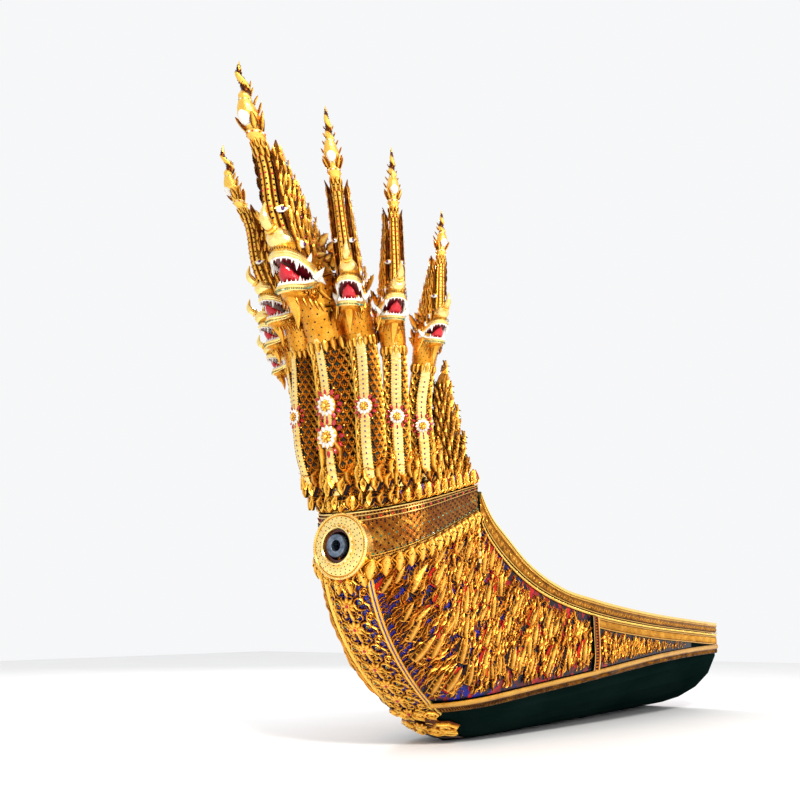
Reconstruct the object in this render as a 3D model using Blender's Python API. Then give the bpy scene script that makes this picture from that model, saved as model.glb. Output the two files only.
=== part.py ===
"""The bow of a royal barge: hull, carved panels, collar, gun port and seven serpent necks with heads.

Everything is drawn in the bow's frame: s runs aft from the gun port, y to starboard, z up from the keel.
At the end it all moves to the part's own frame, whose origin is on the hull joint.
"""

import math

import bmesh
import bpy
import numpy as np
from mathutils import Vector

# Driving dimensions, in metres
JOINT_S = 4.50
JOINT_Z = 0.35
STEM_FACE = 0.04
STEM_RAKE = 1.12
STEM_TOP = 1.25
STEM_POWER = 2.15
CROWN_FRONT_Z = 1.385
COLLAR_FOOT_Z = 1.095
KEEL_HALF = 0.05
BILGE_TOP = 0.55
ENTRY_LENGTH = 0.45
ENTRY_POWER = 2.2
SHELL_WALL = 0.05
GAP = 0.0004
PORT_Z = 1.187
PORT_RING_RADIUS = 0.197
PORT_BORE_RADIUS = 0.098
BORDER_HALF = 0.155
STRAP_S = 2.22
PANEL_THICK = 0.022
CARVING_HIGH = 0.0085
NAPE_S = 0.93
GUNWALE_START = 0.955
PANEL_KNEE_S = 0.97
RIB_DEEP = 0.085
LOWER_DEEP = 0.07
AFT_PANEL_END = 3.9
COLLAR_PROFILE = (
    (1.078, 0.006),
    (1.086, 0.022),
    (1.102, 0.026),
    (1.114, 0.014),
    (1.30, 0.018),
    (1.332, 0.016),
    (1.345, 0.03),
    (1.370, 0.03),
    (1.378, 0.012),
)
LEAF_COUNT = 27
LEAF_TALL = 0.095
HOLD_START = 1.04
DECK_END = 2.15
DECK_DROP = 0.075
NAPE_PATH = (
    (0.75, 0, 1.55),
    (0.73, 0, 1.75),
    (0.67, 0, 1.92),
    (0.61, 0, 2.1),
    (0.6, 0, 2.24),
    (0.64, 0, 2.36),
)
NAPE_HALVES = ((0.02, 0.15), (0.022, 0.18), (0.02, 0.155), (0.016, 0.1), (0.012, 0.05), (0.004, 0.006))

# Station and height, or station and half-breadth, of the sheer
GUNWALE_HEIGHTS = (
    (0.90, 1.66),
    (0.986, 1.51),
    (1.07, 1.406),
    (1.224, 1.286),
    (1.454, 1.122),
    (1.824, 0.965),
    (2.208, 0.893),
    (2.957, 0.808),
    (4.256, 0.728),
    (4.80, 0.705),
)
HALF_BREADTHS = ((0.0, 0.33), (0.5, 0.372), (0.95, 0.41), (1.5, 0.50), (2.3, 0.65), (3.3, 0.77), (4.8, 0.88))
BEAD_HEIGHTS = (
    (0.93, 1.468),
    (1.0, 1.345),
    (1.091, 1.25),
    (1.342, 1.073),
    (1.637, 0.942),
    (2.157, 0.817),
    (2.947, 0.727),
    (4.032, 0.662),
    (4.8, 0.625),
)
LOWER_BAND_HEIGHTS = (
    (0.70, 0.205),
    (1.20, 0.249),
    (1.88, 0.315),
    (2.70, 0.395),
    (3.30, 0.443),
    (4.0, 0.475),
    (4.8, 0.49),
)
LEVEL_SLOPES = ((0.0, 0.0), (0.16, 0.09), (0.6, 0.25), (1.095, 0.42), (1.385, 0.276), (1.6, 0.276))

# Each neck: name, degrees turned from the bow, radius, head unit, axis, crest tip (forward, inboard, up)
CENTRE_AXIS = (
    (0.16, 0.0, 1.45),
    (0.05, 0.0, 1.72),
    (0.01, 0.0, 2.03),
    (-0.09, 0.0, 2.38),
    (-0.27, 0.0, 2.71),
)
FIRST_AXIS = (
    (0.15, 0.19, 1.45),
    (0.02, 0.23, 1.75),
    (-0.02, 0.24, 2.03),
    (-0.065, 0.225, 2.34),
    (-0.156, 0.208, 2.60),
)
SECOND_AXIS = (
    (0.31, 0.245, 1.49),
    (0.18, 0.31, 1.75),
    (0.11, 0.345, 2.0),
    (0.05, 0.368, 2.30),
    (0.0, 0.372, 2.525),
)
THIRD_AXIS = (
    (0.51, 0.28, 1.55),
    (0.36, 0.37, 1.78),
    (0.25, 0.42, 2.0),
    (0.2, 0.475, 2.22),
    (0.19, 0.51, 2.41),
)
NECKS = (
    ("centre", 0, 0.125, 0.108, CENTRE_AXIS, (0.72, 0.0, 1.13)),
    ("first", 30, 0.080, 0.078, FIRST_AXIS, (0.56, 0.10, 0.975)),
    ("second", 47, 0.070, 0.070, SECOND_AXIS, (0.217, 0.04, 0.995)),
    ("third", 62, 0.066, 0.062, THIRD_AXIS, (0.20, 0.0, 0.755)),
)
NECK_SIDES = 12
PORT_SIDES = 24
NECK_CARRIERS = (
    "crown_base",
    "hull_shell",
    "collar_port",
    "collar_starboard",
    "leaf_row",
    "neck_centre",
    "neck_first_port",
    "neck_first_starboard",
)

GOLD = ((0.83, 0.56, 0.13, 1.0), 0.32, 0.9)
LACQUER_GREEN = ((0.012, 0.045, 0.032, 1.0), 0.25, 0.0)
LACQUER_RED = ((0.30, 0.015, 0.012, 1.0), 0.35, 0.0)
GUN_STEEL = ((0.16, 0.19, 0.24, 1.0), 0.3, 0.9)
TIMBER = ((0.20, 0.09, 0.04, 1.0), 0.5, 0.0)


def curve(points):
    """A smooth function through (x, y) points, straight beyond them."""
    xs, ys = (np.array(v, float) for v in zip(*points))
    steps = np.diff(ys) / np.diff(xs)
    slopes = np.concatenate(([steps[0]], (steps[:-1] + steps[1:]) / 2, [steps[-1]]))
    slopes[1:-1][steps[:-1] * steps[1:] <= 0] = 0.0

    def value(x):
        i = int(np.clip(np.searchsorted(xs, x) - 1, 0, len(xs) - 2))
        width = xs[i + 1] - xs[i]
        t = (x - xs[i]) / width
        if t < 0:
            return ys[0] + slopes[0] * (x - xs[0])
        if t > 1:
            return ys[-1] + slopes[-1] * (x - xs[-1])
        a = ys[i] * (1 + 2 * t) * (1 - t) ** 2 + ys[i + 1] * t * t * (3 - 2 * t)
        return a + width * (slopes[i] * t * (1 - t) ** 2 - slopes[i + 1] * t * t * (1 - t))

    return value


gunwale = curve(GUNWALE_HEIGHTS)
beam = curve(HALF_BREADTHS)
level_slope = curve(LEVEL_SLOPES)


def root(function, low, high):
    """Where a rising function crosses zero between two values."""
    for _ in range(40):
        middle = (low + high) / 2
        if function(middle) > 0:
            high = middle
        else:
            low = middle
    return (low + high) / 2


def stem(front_z):
    """Station of the stem's face at this height."""
    return STEM_FACE + STEM_RAKE * max(0.0, 1 - front_z / STEM_TOP) ** STEM_POWER


def level_height(front_z, s):
    """Height at station s of the level line that starts on the stem at front_z."""
    return front_z + level_slope(front_z) * (s - stem(front_z))


def half_breadth(front_z, s):
    q = min(1.0, max(0.0, (s - stem(front_z)) / ENTRY_LENGTH))
    entry = (1 - (1 - q) ** ENTRY_POWER) ** (1 / ENTRY_POWER)
    bilge = min(1.0, max(0.0, level_height(front_z, s) / BILGE_TOP))
    return entry * (KEEL_HALF + (beam(s) - KEEL_HALF) * math.sqrt(1 - (1 - bilge) ** 2))


def level_end(front_z):
    """Station where a level line meets the gunwale, or the hull joint."""
    if level_height(front_z, JOINT_S) < gunwale(JOINT_S):
        return JOINT_S
    return root(lambda s: level_height(front_z, s) - gunwale(s), max(stem(front_z), 0.9), JOINT_S)


def on_level(front_z, s, side):
    return Vector((s, side * half_breadth(front_z, s), level_height(front_z, s)))


def level_through(s, z):
    """The level line, by its height on the stem, that passes through station s and height z."""
    return root(lambda front_z: level_height(front_z, s) - z, 0.0, 1.6)


def on_hull(s, z, side):
    """Point of the hull's outside at station s and height z."""
    return on_level(level_through(s, z), s, side)


def at_offset(front_z, offset, side):
    """Point of a level line at a given distance from the centreline, near the stem."""
    start = stem(front_z)
    s = root(lambda x: half_breadth(front_z, x) - offset, start, start + ENTRY_LENGTH)
    return on_level(front_z, s, side)


def material(name, look):
    colour, roughness, metallic = look
    made = bpy.data.materials.get(name) or bpy.data.materials.new(name)
    made.use_nodes = True
    shader = made.node_tree.nodes["Principled BSDF"]
    shader.inputs["Base Color"].default_value = colour
    shader.inputs["Roughness"].default_value = roughness
    shader.inputs["Metallic"].default_value = metallic
    return made


def node(name, mesh_maker, look, smooth=True, cutter=False):
    """A named object from a bmesh, ending at the hull joint unless it only cuts."""
    for vertex in mesh_maker.verts:
        if not cutter:
            vertex.co.x = min(vertex.co.x, JOINT_S)
    bmesh.ops.triangulate(mesh_maker, faces=mesh_maker.faces)
    bmesh.ops.recalc_face_normals(mesh_maker, faces=mesh_maker.faces)
    mesh = bpy.data.meshes.new(name)
    mesh_maker.to_mesh(mesh)
    mesh_maker.free()
    made = bpy.data.objects.new(name, mesh)
    bpy.context.scene.collection.objects.link(made)
    mesh.materials.append(material(*look))
    if smooth:
        mesh.shade_smooth()
        mesh.set_sharp_from_angle(angle=math.radians(40))
    return made


def grown(source, amount):
    """A hidden copy of an object with its surface moved outwards."""
    made = source.copy()
    made.data = source.data.copy()
    bpy.context.scene.collection.objects.link(made)
    maker = bmesh.new()
    maker.from_mesh(made.data)
    maker.normal_update()
    moves = [v.normal * amount * min(v.calc_shell_factor(), 2.0) for v in maker.verts]
    for vertex, move in zip(maker.verts, moves):
        vertex.co += move
    maker.to_mesh(made.data)
    maker.free()
    made.hide_render = True
    made.display_type = "WIRE"
    return made


def spread(piece):
    """Volume of the box around some vertices."""
    places = np.array([vertex.co for vertex in piece])
    return float(np.prod(places.max(axis=0) - places.min(axis=0)))


def largest_piece(mesh):
    """Keeps only the largest connected piece of a mesh."""
    maker = bmesh.new()
    maker.from_mesh(mesh)
    left = set(maker.verts)
    pieces = []
    while left:
        piece = set()
        front = [left.pop()]
        while front:
            vertex = front.pop()
            piece.add(vertex)
            for edge in vertex.link_edges:
                other = edge.other_vert(vertex)
                if other in left:
                    left.remove(other)
                    front.append(other)
        pieces.append(piece)
    pieces.sort(key=spread)
    crumbs = [vertex for piece in pieces[:-1] for vertex in piece]
    bmesh.ops.delete(maker, geom=crumbs, context="VERTS")
    maker.to_mesh(mesh)
    maker.free()


def combine(target, other, operation, keep=False):
    """Cuts or joins target with other, and bakes the result into target's mesh."""
    boolean = target.modifiers.new(operation, "BOOLEAN")
    boolean.operation = operation
    boolean.object = other
    boolean.solver = "MANIFOLD"
    bpy.context.view_layer.update()
    evaluated = target.evaluated_get(bpy.context.evaluated_depsgraph_get())
    mesh = bpy.data.meshes.new_from_object(evaluated)
    largest_piece(mesh)
    target.modifiers.clear()
    target.data = mesh
    if not keep:
        bpy.data.objects.remove(other)


def seat(piece, *carriers):
    """Fits a piece against the pieces that carry it, with the gap that touching solids keep."""
    for carrier in carriers:
        combine(piece, grown(carrier, GAP), "DIFFERENCE")
    return piece


def from_rings(rings, closed_ring=True):
    """A closed bmesh through rings of equal length, with flat ends."""
    maker = bmesh.new()
    rows = [[maker.verts.new(p) for p in ring] for ring in rings]
    count = len(rows[0])
    for low, high in zip(rows, rows[1:]):
        for i in range(count if closed_ring else count - 1):
            j = (i + 1) % count
            maker.faces.new((low[i], low[j], high[j], high[i]))
    maker.faces.new(rows[0])
    maker.faces.new(rows[-1])
    return maker


def sheet(rows, out, inner):
    """A closed bmesh from a grid of points, thickened along its normals; out may go by row or point."""
    grid = np.array([[list(p) for p in row] for row in rows])
    out = np.asarray(out, float)
    if out.ndim == 1:
        out = out[:, None]
    out = np.broadcast_to(out, grid.shape[:2])[..., None]
    along = np.gradient(grid, axis=0)
    across = np.gradient(grid, axis=1)
    normal = np.cross(along, across)
    normal /= np.linalg.norm(normal, axis=2, keepdims=True)
    if (normal[..., 1] * grid[..., 1]).sum() - normal[..., 0].sum() < 0:
        normal = -normal
    maker = bmesh.new()
    outer = [[maker.verts.new(p) for p in row] for row in grid + normal * out]
    back = [[maker.verts.new(p) for p in row] for row in grid - normal * inner]
    high, wide = len(grid), len(grid[0])
    for layer in (outer, back):
        for i in range(high - 1):
            for j in range(wide - 1):
                maker.faces.new((layer[i][j], layer[i + 1][j], layer[i + 1][j + 1], layer[i][j + 1]))
    rim = [(0, j) for j in range(wide)] + [(i, wide - 1) for i in range(1, high)]
    rim += [(high - 1, j) for j in range(wide - 2, -1, -1)] + [(i, 0) for i in range(high - 2, 0, -1)]
    for (a, b), (c, d) in zip(rim, rim[1:] + rim[:1]):
        maker.faces.new((outer[a][b], outer[c][d], back[c][d], back[a][b]))
    return maker


def swept(path, outs, section):
    """Sweeps a section of (out, down) offsets along a path, with its outward direction at each point."""
    points = np.array([list(p) for p in path])
    outs = np.array([list(o) for o in outs])
    tangents = np.gradient(points, axis=0)
    tangents /= np.linalg.norm(tangents, axis=1, keepdims=True)
    outs -= tangents * (outs * tangents).sum(axis=1, keepdims=True)
    outs /= np.linalg.norm(outs, axis=1, keepdims=True)
    downs = np.cross(outs, tangents)
    downs *= np.where(downs[:, 2] > 0, -1, 1)[:, None]
    return from_rings([[p + o * a + d * b for a, b in section] for p, o, d in zip(points, outs, downs)])


def round_section(radius, sides=8, out=0.0, down=0.0):
    turns = [2 * math.pi * i / sides for i in range(sides)]
    return [(out + radius * math.cos(a), down + radius * math.sin(a)) for a in turns]


def box_section(out_low, out_high, down_low, down_high):
    return [(out_low, down_low), (out_high, down_low), (out_high, down_high), (out_low, down_high)]


def spin(radii, sides=PORT_SIDES):
    """A turned solid about +X from (x, radius) points, closed on its axis ends."""
    rings = []
    for x, radius in radii:
        turns = [2 * math.pi * i / sides for i in range(sides)]
        rings.append([Vector((x, radius * math.cos(a), PORT_Z + radius * math.sin(a))) for a in turns])
    return rings


def tube_about_port(outline, sides=PORT_SIDES):
    """A ring about the gun port's axis, from a closed outline of (x, radius) points."""
    maker = bmesh.new()
    rows = [[maker.verts.new(p) for p in ring] for ring in spin(outline, sides)]
    for low, high in zip(rows, rows[1:] + rows[:1]):
        for i in range(sides):
            j = (i + 1) % sides
            maker.faces.new((low[i], low[j], high[j], high[i]))
    return maker


def hull_shell():
    """The planked hull with its solid stem, open above from the nape aft."""
    heights = [0.0, 0.012, 0.03, 0.06, 0.1, 0.15, 0.2, 0.255, 0.36, 0.52, 0.75, COLLAR_FOOT_Z, CROWN_FRONT_Z]
    shares = [0.0, 0.012, 0.035, 0.075, 0.14, 0.25, 0.5, 0.75, 1.0]
    maker = bmesh.new()
    sides = {}
    for side in (-1, 1):
        rows = []
        for front_z in heights:
            start, end = stem(front_z), level_end(front_z)
            row = []
            for share in shares:
                if share == 0 and side == 1:
                    row.append(sides[-1][len(rows)][0])
                    continue
                row.append(maker.verts.new(on_level(front_z, start + (end - start) * share, side)))
            rows.append(row)
        sides[side] = rows
        for low, high in zip(rows, rows[1:]):
            for j in range(len(shares) - 1):
                maker.faces.new((low[j], low[j + 1], high[j + 1], high[j]))
    port, starboard = sides[-1], sides[1]
    for row in (0, -1):
        for j in range(len(shares) - 1):
            ends = [port[row][j], port[row][j + 1], starboard[row][j + 1], starboard[row][j]]
            maker.faces.new(ends if j else ends[:3])
    for k in range(len(heights) - 1):
        maker.faces.new((port[k][-1], port[k + 1][-1], starboard[k + 1][-1], starboard[k][-1]))
    shell = node("hull_shell", maker, ("lacquer_green", LACQUER_GREEN))
    combine(shell, hold_cutter(), "DIFFERENCE")
    combine(shell, port_cutter(PORT_BORE_RADIUS + 0.02), "DIFFERENCE")
    return shell


def hold_half(s, z):
    """Half-breadth of the hold at station s and height z."""
    fill = min(1.0, max(0.0, (z - SHELL_WALL) / BILGE_TOP))
    return (beam(s) - SHELL_WALL) * math.sqrt(max(0.0, 1 - (1 - fill) ** 2))


def hold_cutter():
    """The space inside the hull, as a solid."""
    heights = [SHELL_WALL + 0.02, 0.12, 0.2, 0.32, 0.46, 0.62, 2.4]
    rings = []
    for s in (HOLD_START, 1.35, 1.7, 2.1, 2.6, 3.2, 3.9, JOINT_S + 0.1):
        floor_lift = 0.35 * max(0.0, 1 - (s - HOLD_START) / 0.9) ** 2
        right = [Vector((s, hold_half(s, z), z + floor_lift * (z < 2))) for z in heights]
        left = [Vector((s, -hold_half(s, z), z + floor_lift * (z < 2))) for z in reversed(heights)]
        rings.append(right + left)
    return node("hold_cutter", from_rings(rings), ("timber", TIMBER), cutter=True)


def port_cutter(radius):
    rings = spin(((-0.3, radius), (HOLD_START + 0.2, radius)))
    return node("port_cutter", from_rings(rings), ("timber", TIMBER), cutter=True)


def along(low, high, count):
    return [low + (high - low) * i / (count - 1) for i in range(count)]


def tube(centres, radii, sides=NECK_SIDES):
    """A round tube along a path of points."""
    path = [Vector(p) for p in centres]
    rings = []
    for i, (centre, radius) in enumerate(zip(path, radii)):
        tangent = (path[min(i + 1, len(path) - 1)] - path[max(i - 1, 0)]).normalized()
        across = tangent.cross(Vector((0, 1, 0))).normalized()
        over = across.cross(tangent)
        turns = [2 * math.pi * k / sides for k in range(sides)]
        rings.append([centre + (across * math.cos(a) + over * math.sin(a)) * radius for a in turns])
    return from_rings(rings)


def blade(frame, path, halves, sides=8):
    """A tapering solid with oval sections, along (forward, right, up) points of a head's frame."""
    origin, forward, right, up, unit = frame
    rings = []
    for i, ((f, r, u), (lateral, deep)) in enumerate(zip(path, halves)):
        before, after = path[max(i - 1, 0)], path[min(i + 1, len(path) - 1)]
        tangent = Vector((after[0] - before[0], after[2] - before[2])).normalized()
        ring = []
        for k in range(sides):
            a = 2 * math.pi * k / sides
            rise = deep * math.sin(a)
            place = (f - tangent.y * rise, r + lateral * math.cos(a), u + tangent.x * rise)
            ring.append(origin + (forward * place[0] + right * place[1] + up * place[2]) * unit)
        rings.append(ring)
    return from_rings(rings)


bead_line = curve(BEAD_HEIGHTS)
lower_line = curve(LOWER_BAND_HEIGHTS)


def band_rows(low, high, stations, shares, side):
    """Rows of points on the hull's side, from one height line to another, at the given stations."""
    return [[on_hull(s, low(s) + (high(s) - low(s)) * v, side) for s in stations] for v in shares]


def level_line(front_z):
    return lambda s: level_height(front_z, s)


collar_foot = level_line(COLLAR_FOOT_Z)
crown = level_line(CROWN_FRONT_Z)


def line_above(line, rise):
    return lambda s: line(s) + rise


def both_sides(build):
    """Runs a builder for the port side and the starboard side."""
    for side, word in ((-1, "port"), (1, "starboard")):
        build(side, word)


def collar_stations(front_z, count):
    """Stations along a level line from behind the port's ring to the nape, closer together forward."""
    reach = PORT_RING_RADIUS**2 - (front_z - PORT_Z) ** 2
    inner_offset = max(0.03, math.sqrt(max(0.0, reach)) - 0.02)
    start = at_offset(front_z, inner_offset, 1).x
    return [start + (NAPE_S - start) * (i / (count - 1)) ** 1.4 for i in range(count)]


def add_collar(side, word):
    """The gold collar under the heads: a band between two beads."""
    shell = solids["hull_shell"]
    ring = solids["port_ring"]
    rows = []
    for front_z, _ in COLLAR_PROFILE:
        rows.append([on_level(front_z, s, side) for s in collar_stations(front_z, 14)])
    maker = sheet(rows, [out for _, out in COLLAR_PROFILE], 0.01)
    band = node(f"collar_{word}", maker, ("gold", GOLD))
    solids[band.name] = seat(band, shell, ring)


def add_gunwale(side, word):
    """The carved band outside the sheer, its cap, the bead below it and the ribbed band aft of the strap."""
    shell = solids["hull_shell"]
    stations = along(GUNWALE_START, 1.5, 6) + along(1.7, JOINT_S - GAP, 9)
    rows = band_rows(line_above(bead_line, 0.014), line_above(gunwale, 0.004), stations, (0.0, 1.0), side)
    band = node(f"gunwale_{word}", sheet(rows, 0.028, 0.01), ("gold", GOLD))
    seat(band, shell)
    path = [Vector((s, side * (beam(s) - 0.018), gunwale(s) + 0.006)) for s in stations]
    outs = [Vector((0, side, 0)) for _ in stations]
    cap = node(f"cap_rail_{word}", swept(path, outs, box_section(-0.05, 0.052, -0.022, 0.0)), ("gold", GOLD))
    seat(cap, shell, band)
    stations = along(0.97, 1.4, 6) + along(1.6, JOINT_S - GAP, 9)
    path = [on_hull(s, bead_line(s), side) for s in stations]
    outs = [Vector((0, side, 0)) for _ in stations]
    bead = node(f"bead_rail_{word}", swept(path, outs, round_section(0.0125, 6, 0.006)), ("gold", GOLD))
    solids[bead.name] = seat(bead, shell, band)
    stations = along(STRAP_S + 0.045, JOINT_S - GAP, 10)
    low, high = line_above(bead_line, -RIB_DEEP), line_above(bead_line, -0.014)
    rows = band_rows(low, high, stations, (0.0, 1.0), side)
    rib = node(f"rib_band_{word}", sheet(rows, 0.018, 0.01), ("gold", GOLD))
    solids[rib.name] = seat(rib, shell, bead)


def panel_low(s):
    return lower_line(s) + LOWER_DEEP + 0.006


def panel_high(s):
    return min(collar_foot(s), bead_line(s)) - 0.02


def start_of(line, offset):
    """Station where a height line on the hull's side comes to this offset from the centreline."""
    return root(lambda s: half_breadth(level_through(s, line(s)), s) - offset, 0.05, 1.3)


def carved_outs(high, wide):
    """How far a carved panel stands out at each point: staggered bosses inside a plain edge."""
    outs = np.full((high, wide), PANEL_THICK)
    for i in range(1, high - 1):
        for j in range(2 - i % 2, wide - 1, 2):
            outs[i, j] += CARVING_HIGH
    return outs


def add_panels(side, word):
    """The carved side panels forward and aft of the strap, the strap and the low gold band."""
    shell = solids["hull_shell"]
    rows = []
    for share in along(0.0, 1.0, 9):
        start = start_of(lambda s: panel_low(s) + (panel_high(s) - panel_low(s)) * share, BORDER_HALF + 0.03)
        stations = along(start, PANEL_KNEE_S, 8)[:-1] + along(PANEL_KNEE_S, STRAP_S - 0.035, 14)
        heights = [panel_low(s) + (panel_high(s) - panel_low(s)) * share for s in stations]
        rows.append([on_hull(s, height, side) for s, height in zip(stations, heights)])
    outs = carved_outs(len(rows), len(rows[0]))
    panel = node(f"side_panel_{word}", sheet(rows, outs, 0.01), ("gold", GOLD))
    seat(panel, shell, solids[f"bead_rail_{word}"], solids[f"stem_border_{word}"], solids["port_ring"])
    stations = along(STRAP_S + 0.045, AFT_PANEL_END, 9)
    rows = band_rows(panel_low, line_above(bead_line, -RIB_DEEP - 0.006), stations, (0.0, 0.5, 1.0), side)
    seat(node(f"aft_panel_{word}", sheet(rows, PANEL_THICK, 0.01), ("gold", GOLD)), shell)
    stations = (STRAP_S - 0.033, STRAP_S + 0.043)
    rows = band_rows(panel_low, line_above(bead_line, -0.016), stations, along(0.0, 1.0, 7), side)
    seat(node(f"joint_strap_{word}", sheet(rows, 0.034, 0.01), ("red_lacquer", LACQUER_RED)), shell)
    start = start_of(lower_line, BORDER_HALF)
    stations = [start + (JOINT_S - GAP - start) * (i / 15) ** 1.6 for i in range(16)]
    rows = band_rows(lower_line, line_above(lower_line, LOWER_DEEP), stations, (0.0, 1.0), side)
    band = node(f"lower_band_{word}", sheet(rows, 0.028, 0.012), ("gold", GOLD))
    seat(band, shell, solids[f"rib_band_{word}"], solids[f"stem_border_{word}"])


def across_stem(front_z, offsets):
    """Points of a level line at signed offsets from the centreline, near the stem."""
    return [at_offset(front_z, abs(y), 1 if y > 0 else -1) for y in offsets]


def add_stem():
    """The carved panel on the stem's face, its two borders and the curled foot."""
    shell, ring = solids["hull_shell"], solids["port_ring"]
    def add_border(side, word):
        path = [at_offset(front_z, BORDER_HALF, side) for front_z in along(0.21, 1.0, 14)]
        outs = [Vector((-1.0, side * 0.9, 0.0)) for _ in path]
        made = node(f"stem_border_{word}", swept(path, outs, round_section(0.02, 8, 0.008)), ("gold", GOLD))
        solids[made.name] = seat(made, shell, ring)

    both_sides(add_border)
    offsets = [x * BORDER_HALF for x in (-0.86, -0.5, -0.17, 0.17, 0.5, 0.86)]
    rows = [across_stem(front_z, offsets) for front_z in along(0.19, 1.02, 14)]
    borders = (solids["stem_border_port"], solids["stem_border_starboard"])
    seat(node("stem_panel", sheet(rows, 0.03, 0.012), ("gold", GOLD)), shell, ring, *borders)
    offsets = (-0.12, -0.07, -0.02, 0.02, 0.07, 0.12)
    rows = [across_stem(front_z, offsets) for front_z in (0.035, 0.07, 0.11, 0.15, 0.18)]
    seat(node("stem_foot", sheet(rows, 0.035, 0.012), ("gold", GOLD)), shell)


def add_port():
    """The gun port: its ring on the stem, the liner in the bore, and the gun lying on a bearer."""
    bore = PORT_BORE_RADIUS
    outline = ((0.18, bore), (-0.004, bore), (-0.014, bore + 0.014), (0.004, bore + 0.035))
    outline += ((0.004, PORT_RING_RADIUS - 0.03), (0.016, PORT_RING_RADIUS - 0.01), (0.03, PORT_RING_RADIUS))
    outline += ((0.18, PORT_RING_RADIUS),)
    ring = node("port_ring", tube_about_port(outline), ("gold", GOLD))
    solids["port_ring"] = seat(ring, solids["hull_shell"])
    outer, inner = bore - GAP, bore - 0.014
    outline = ((0.012, outer), (0.012, inner), (0.66, inner), (0.66, outer))
    liner = node("port_liner", tube_about_port(outline), ("red_lacquer", LACQUER_RED))
    profile = ((-0.012, 0.062), (0.002, 0.068), (0.03, 0.066), (0.06, 0.056), (0.85, 0.07))
    profile += ((0.88, 0.062), (0.9, 0.03), (0.93, 0.034), (0.95, 0.02))
    maker = from_rings(spin(profile, 16))
    barrel = node("gun_barrel", maker, ("gun_steel", GUN_STEEL))
    rings = spin(((-0.1, 0.034), (0.55, 0.034)), 16)
    combine(barrel, node("gun_bore_cutter", from_rings(rings), ("gun_steel", GUN_STEEL)), "DIFFERENCE")
    floor = PORT_Z - inner - 0.004
    maker = level_slab(0.12, 0.6, 0.035, floor, PORT_Z - 0.04)
    seat(node("gun_bearer", maker, ("timber", TIMBER)), liner, barrel)


def slab(stations, half, floor, roof):
    """A board lying across the hull, with its half-width, underside and top as functions of the station."""
    rings = []
    for s in stations:
        corners = ((half(s), floor(s)), (half(s), roof(s)), (-half(s), roof(s)), (-half(s), floor(s)))
        rings.append([Vector((s, y, z)) for y, z in corners])
    return from_rings(rings)


def level_slab(s_low, s_high, half, floor, roof):
    return slab((s_low, s_high), lambda s: half, lambda s: floor, lambda s: roof)


def deck_top(s):
    return gunwale(s) - DECK_DROP


def add_inside():
    """Foredeck on its beams, floor boards on their frames, thwarts on their risers, and the bulkhead."""
    shell = solids["hull_shell"]
    timber = ("timber", TIMBER)
    red = ("red_lacquer", LACQUER_RED)
    stations = along(HOLD_START - 0.01, 1.4, 5) + along(1.5, DECK_END, 5)
    maker = slab(stations, lambda s: beam(s) - SHELL_WALL + 0.006, line_above(deck_top, -0.03), deck_top)
    deck = seat(node("foredeck", maker, timber, smooth=False), shell)
    for number, s in enumerate((1.34, 1.7, 2.08)):
        maker = level_slab(s, s + 0.05, beam(s) - SHELL_WALL + 0.006, deck_top(s) - 0.1, deck_top(s) - 0.02)
        seat(node(f"deck_beam_{number + 1}", maker, timber, smooth=False), shell, deck)
    boards = level_slab(1.98, JOINT_S - 0.045, 0.30, 0.175, 0.2)
    boards = node("floor_boards", boards, timber, smooth=False)
    for number, s in enumerate((2.15, 3.15, 4.15)):
        right = [(hold_half(s, z) + 0.01, z) for z in (0.06, 0.085, 0.12, 0.175 - GAP)]
        outline = right + [(-y, z) for y, z in reversed(right)]
        rings = [[Vector((x, y, z)) for y, z in outline] for x in (s, s + 0.05)]
        seat(node(f"floor_frame_{number + 1}", from_rings(rings), timber, smooth=False), shell)

    def add_riser(side, word):
        stations = along(2.3, JOINT_S - 0.045, 8)
        path = [Vector((s, side * hold_half(s, 0.48), 0.48)) for s in stations]
        outs = [Vector((0, side, 0)) for _ in stations]
        maker = swept(path, outs, box_section(-0.03, 0.02, -0.02, 0.02))
        solids[f"riser_{word}"] = seat(node(f"riser_{word}", maker, timber, smooth=False), shell)

    both_sides(add_riser)
    for number, s in enumerate((2.55, 3.3, 4.05)):
        maker = level_slab(s, s + 0.2, beam(s) + 0.1, 0.5 + GAP, 0.53)
        made = node(f"thwart_{number + 1}", maker, red, smooth=False)
        seat(made, shell, solids["riser_port"], solids["riser_starboard"])
    heights = (0.06, 0.12, 0.2, 0.32, 0.46, 0.6)
    right = [(hold_half(JOINT_S, z) + 0.012, z) for z in heights]
    outline = right + [(-y, z) for y, z in reversed(right)]
    rings = [[Vector((s, y, z)) for y, z in outline] for s in (JOINT_S - 0.035, JOINT_S)]
    seat(node("joint_bulkhead", from_rings(rings), red, smooth=False), shell)


def crown_outline(count):
    """Evenly spaced points round the crown's edge, from the port nape by the stem to the starboard nape."""
    shares = [(i / 60) ** 2 for i in range(61)]
    half = [on_level(CROWN_FRONT_Z, NAPE_S * x + STEM_FACE * (1 - x), 1) for x in shares]
    line = [Vector((p.x, -p.y, p.z)) for p in reversed(half)] + half[1:]
    reach = np.cumsum([0.0] + [(b - a).length for a, b in zip(line, line[1:])])
    targets = np.linspace(0.0, reach[-1], count)
    return [Vector([np.interp(t, reach, [p[k] for p in line]) for k in range(3)]) for t in targets]


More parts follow.
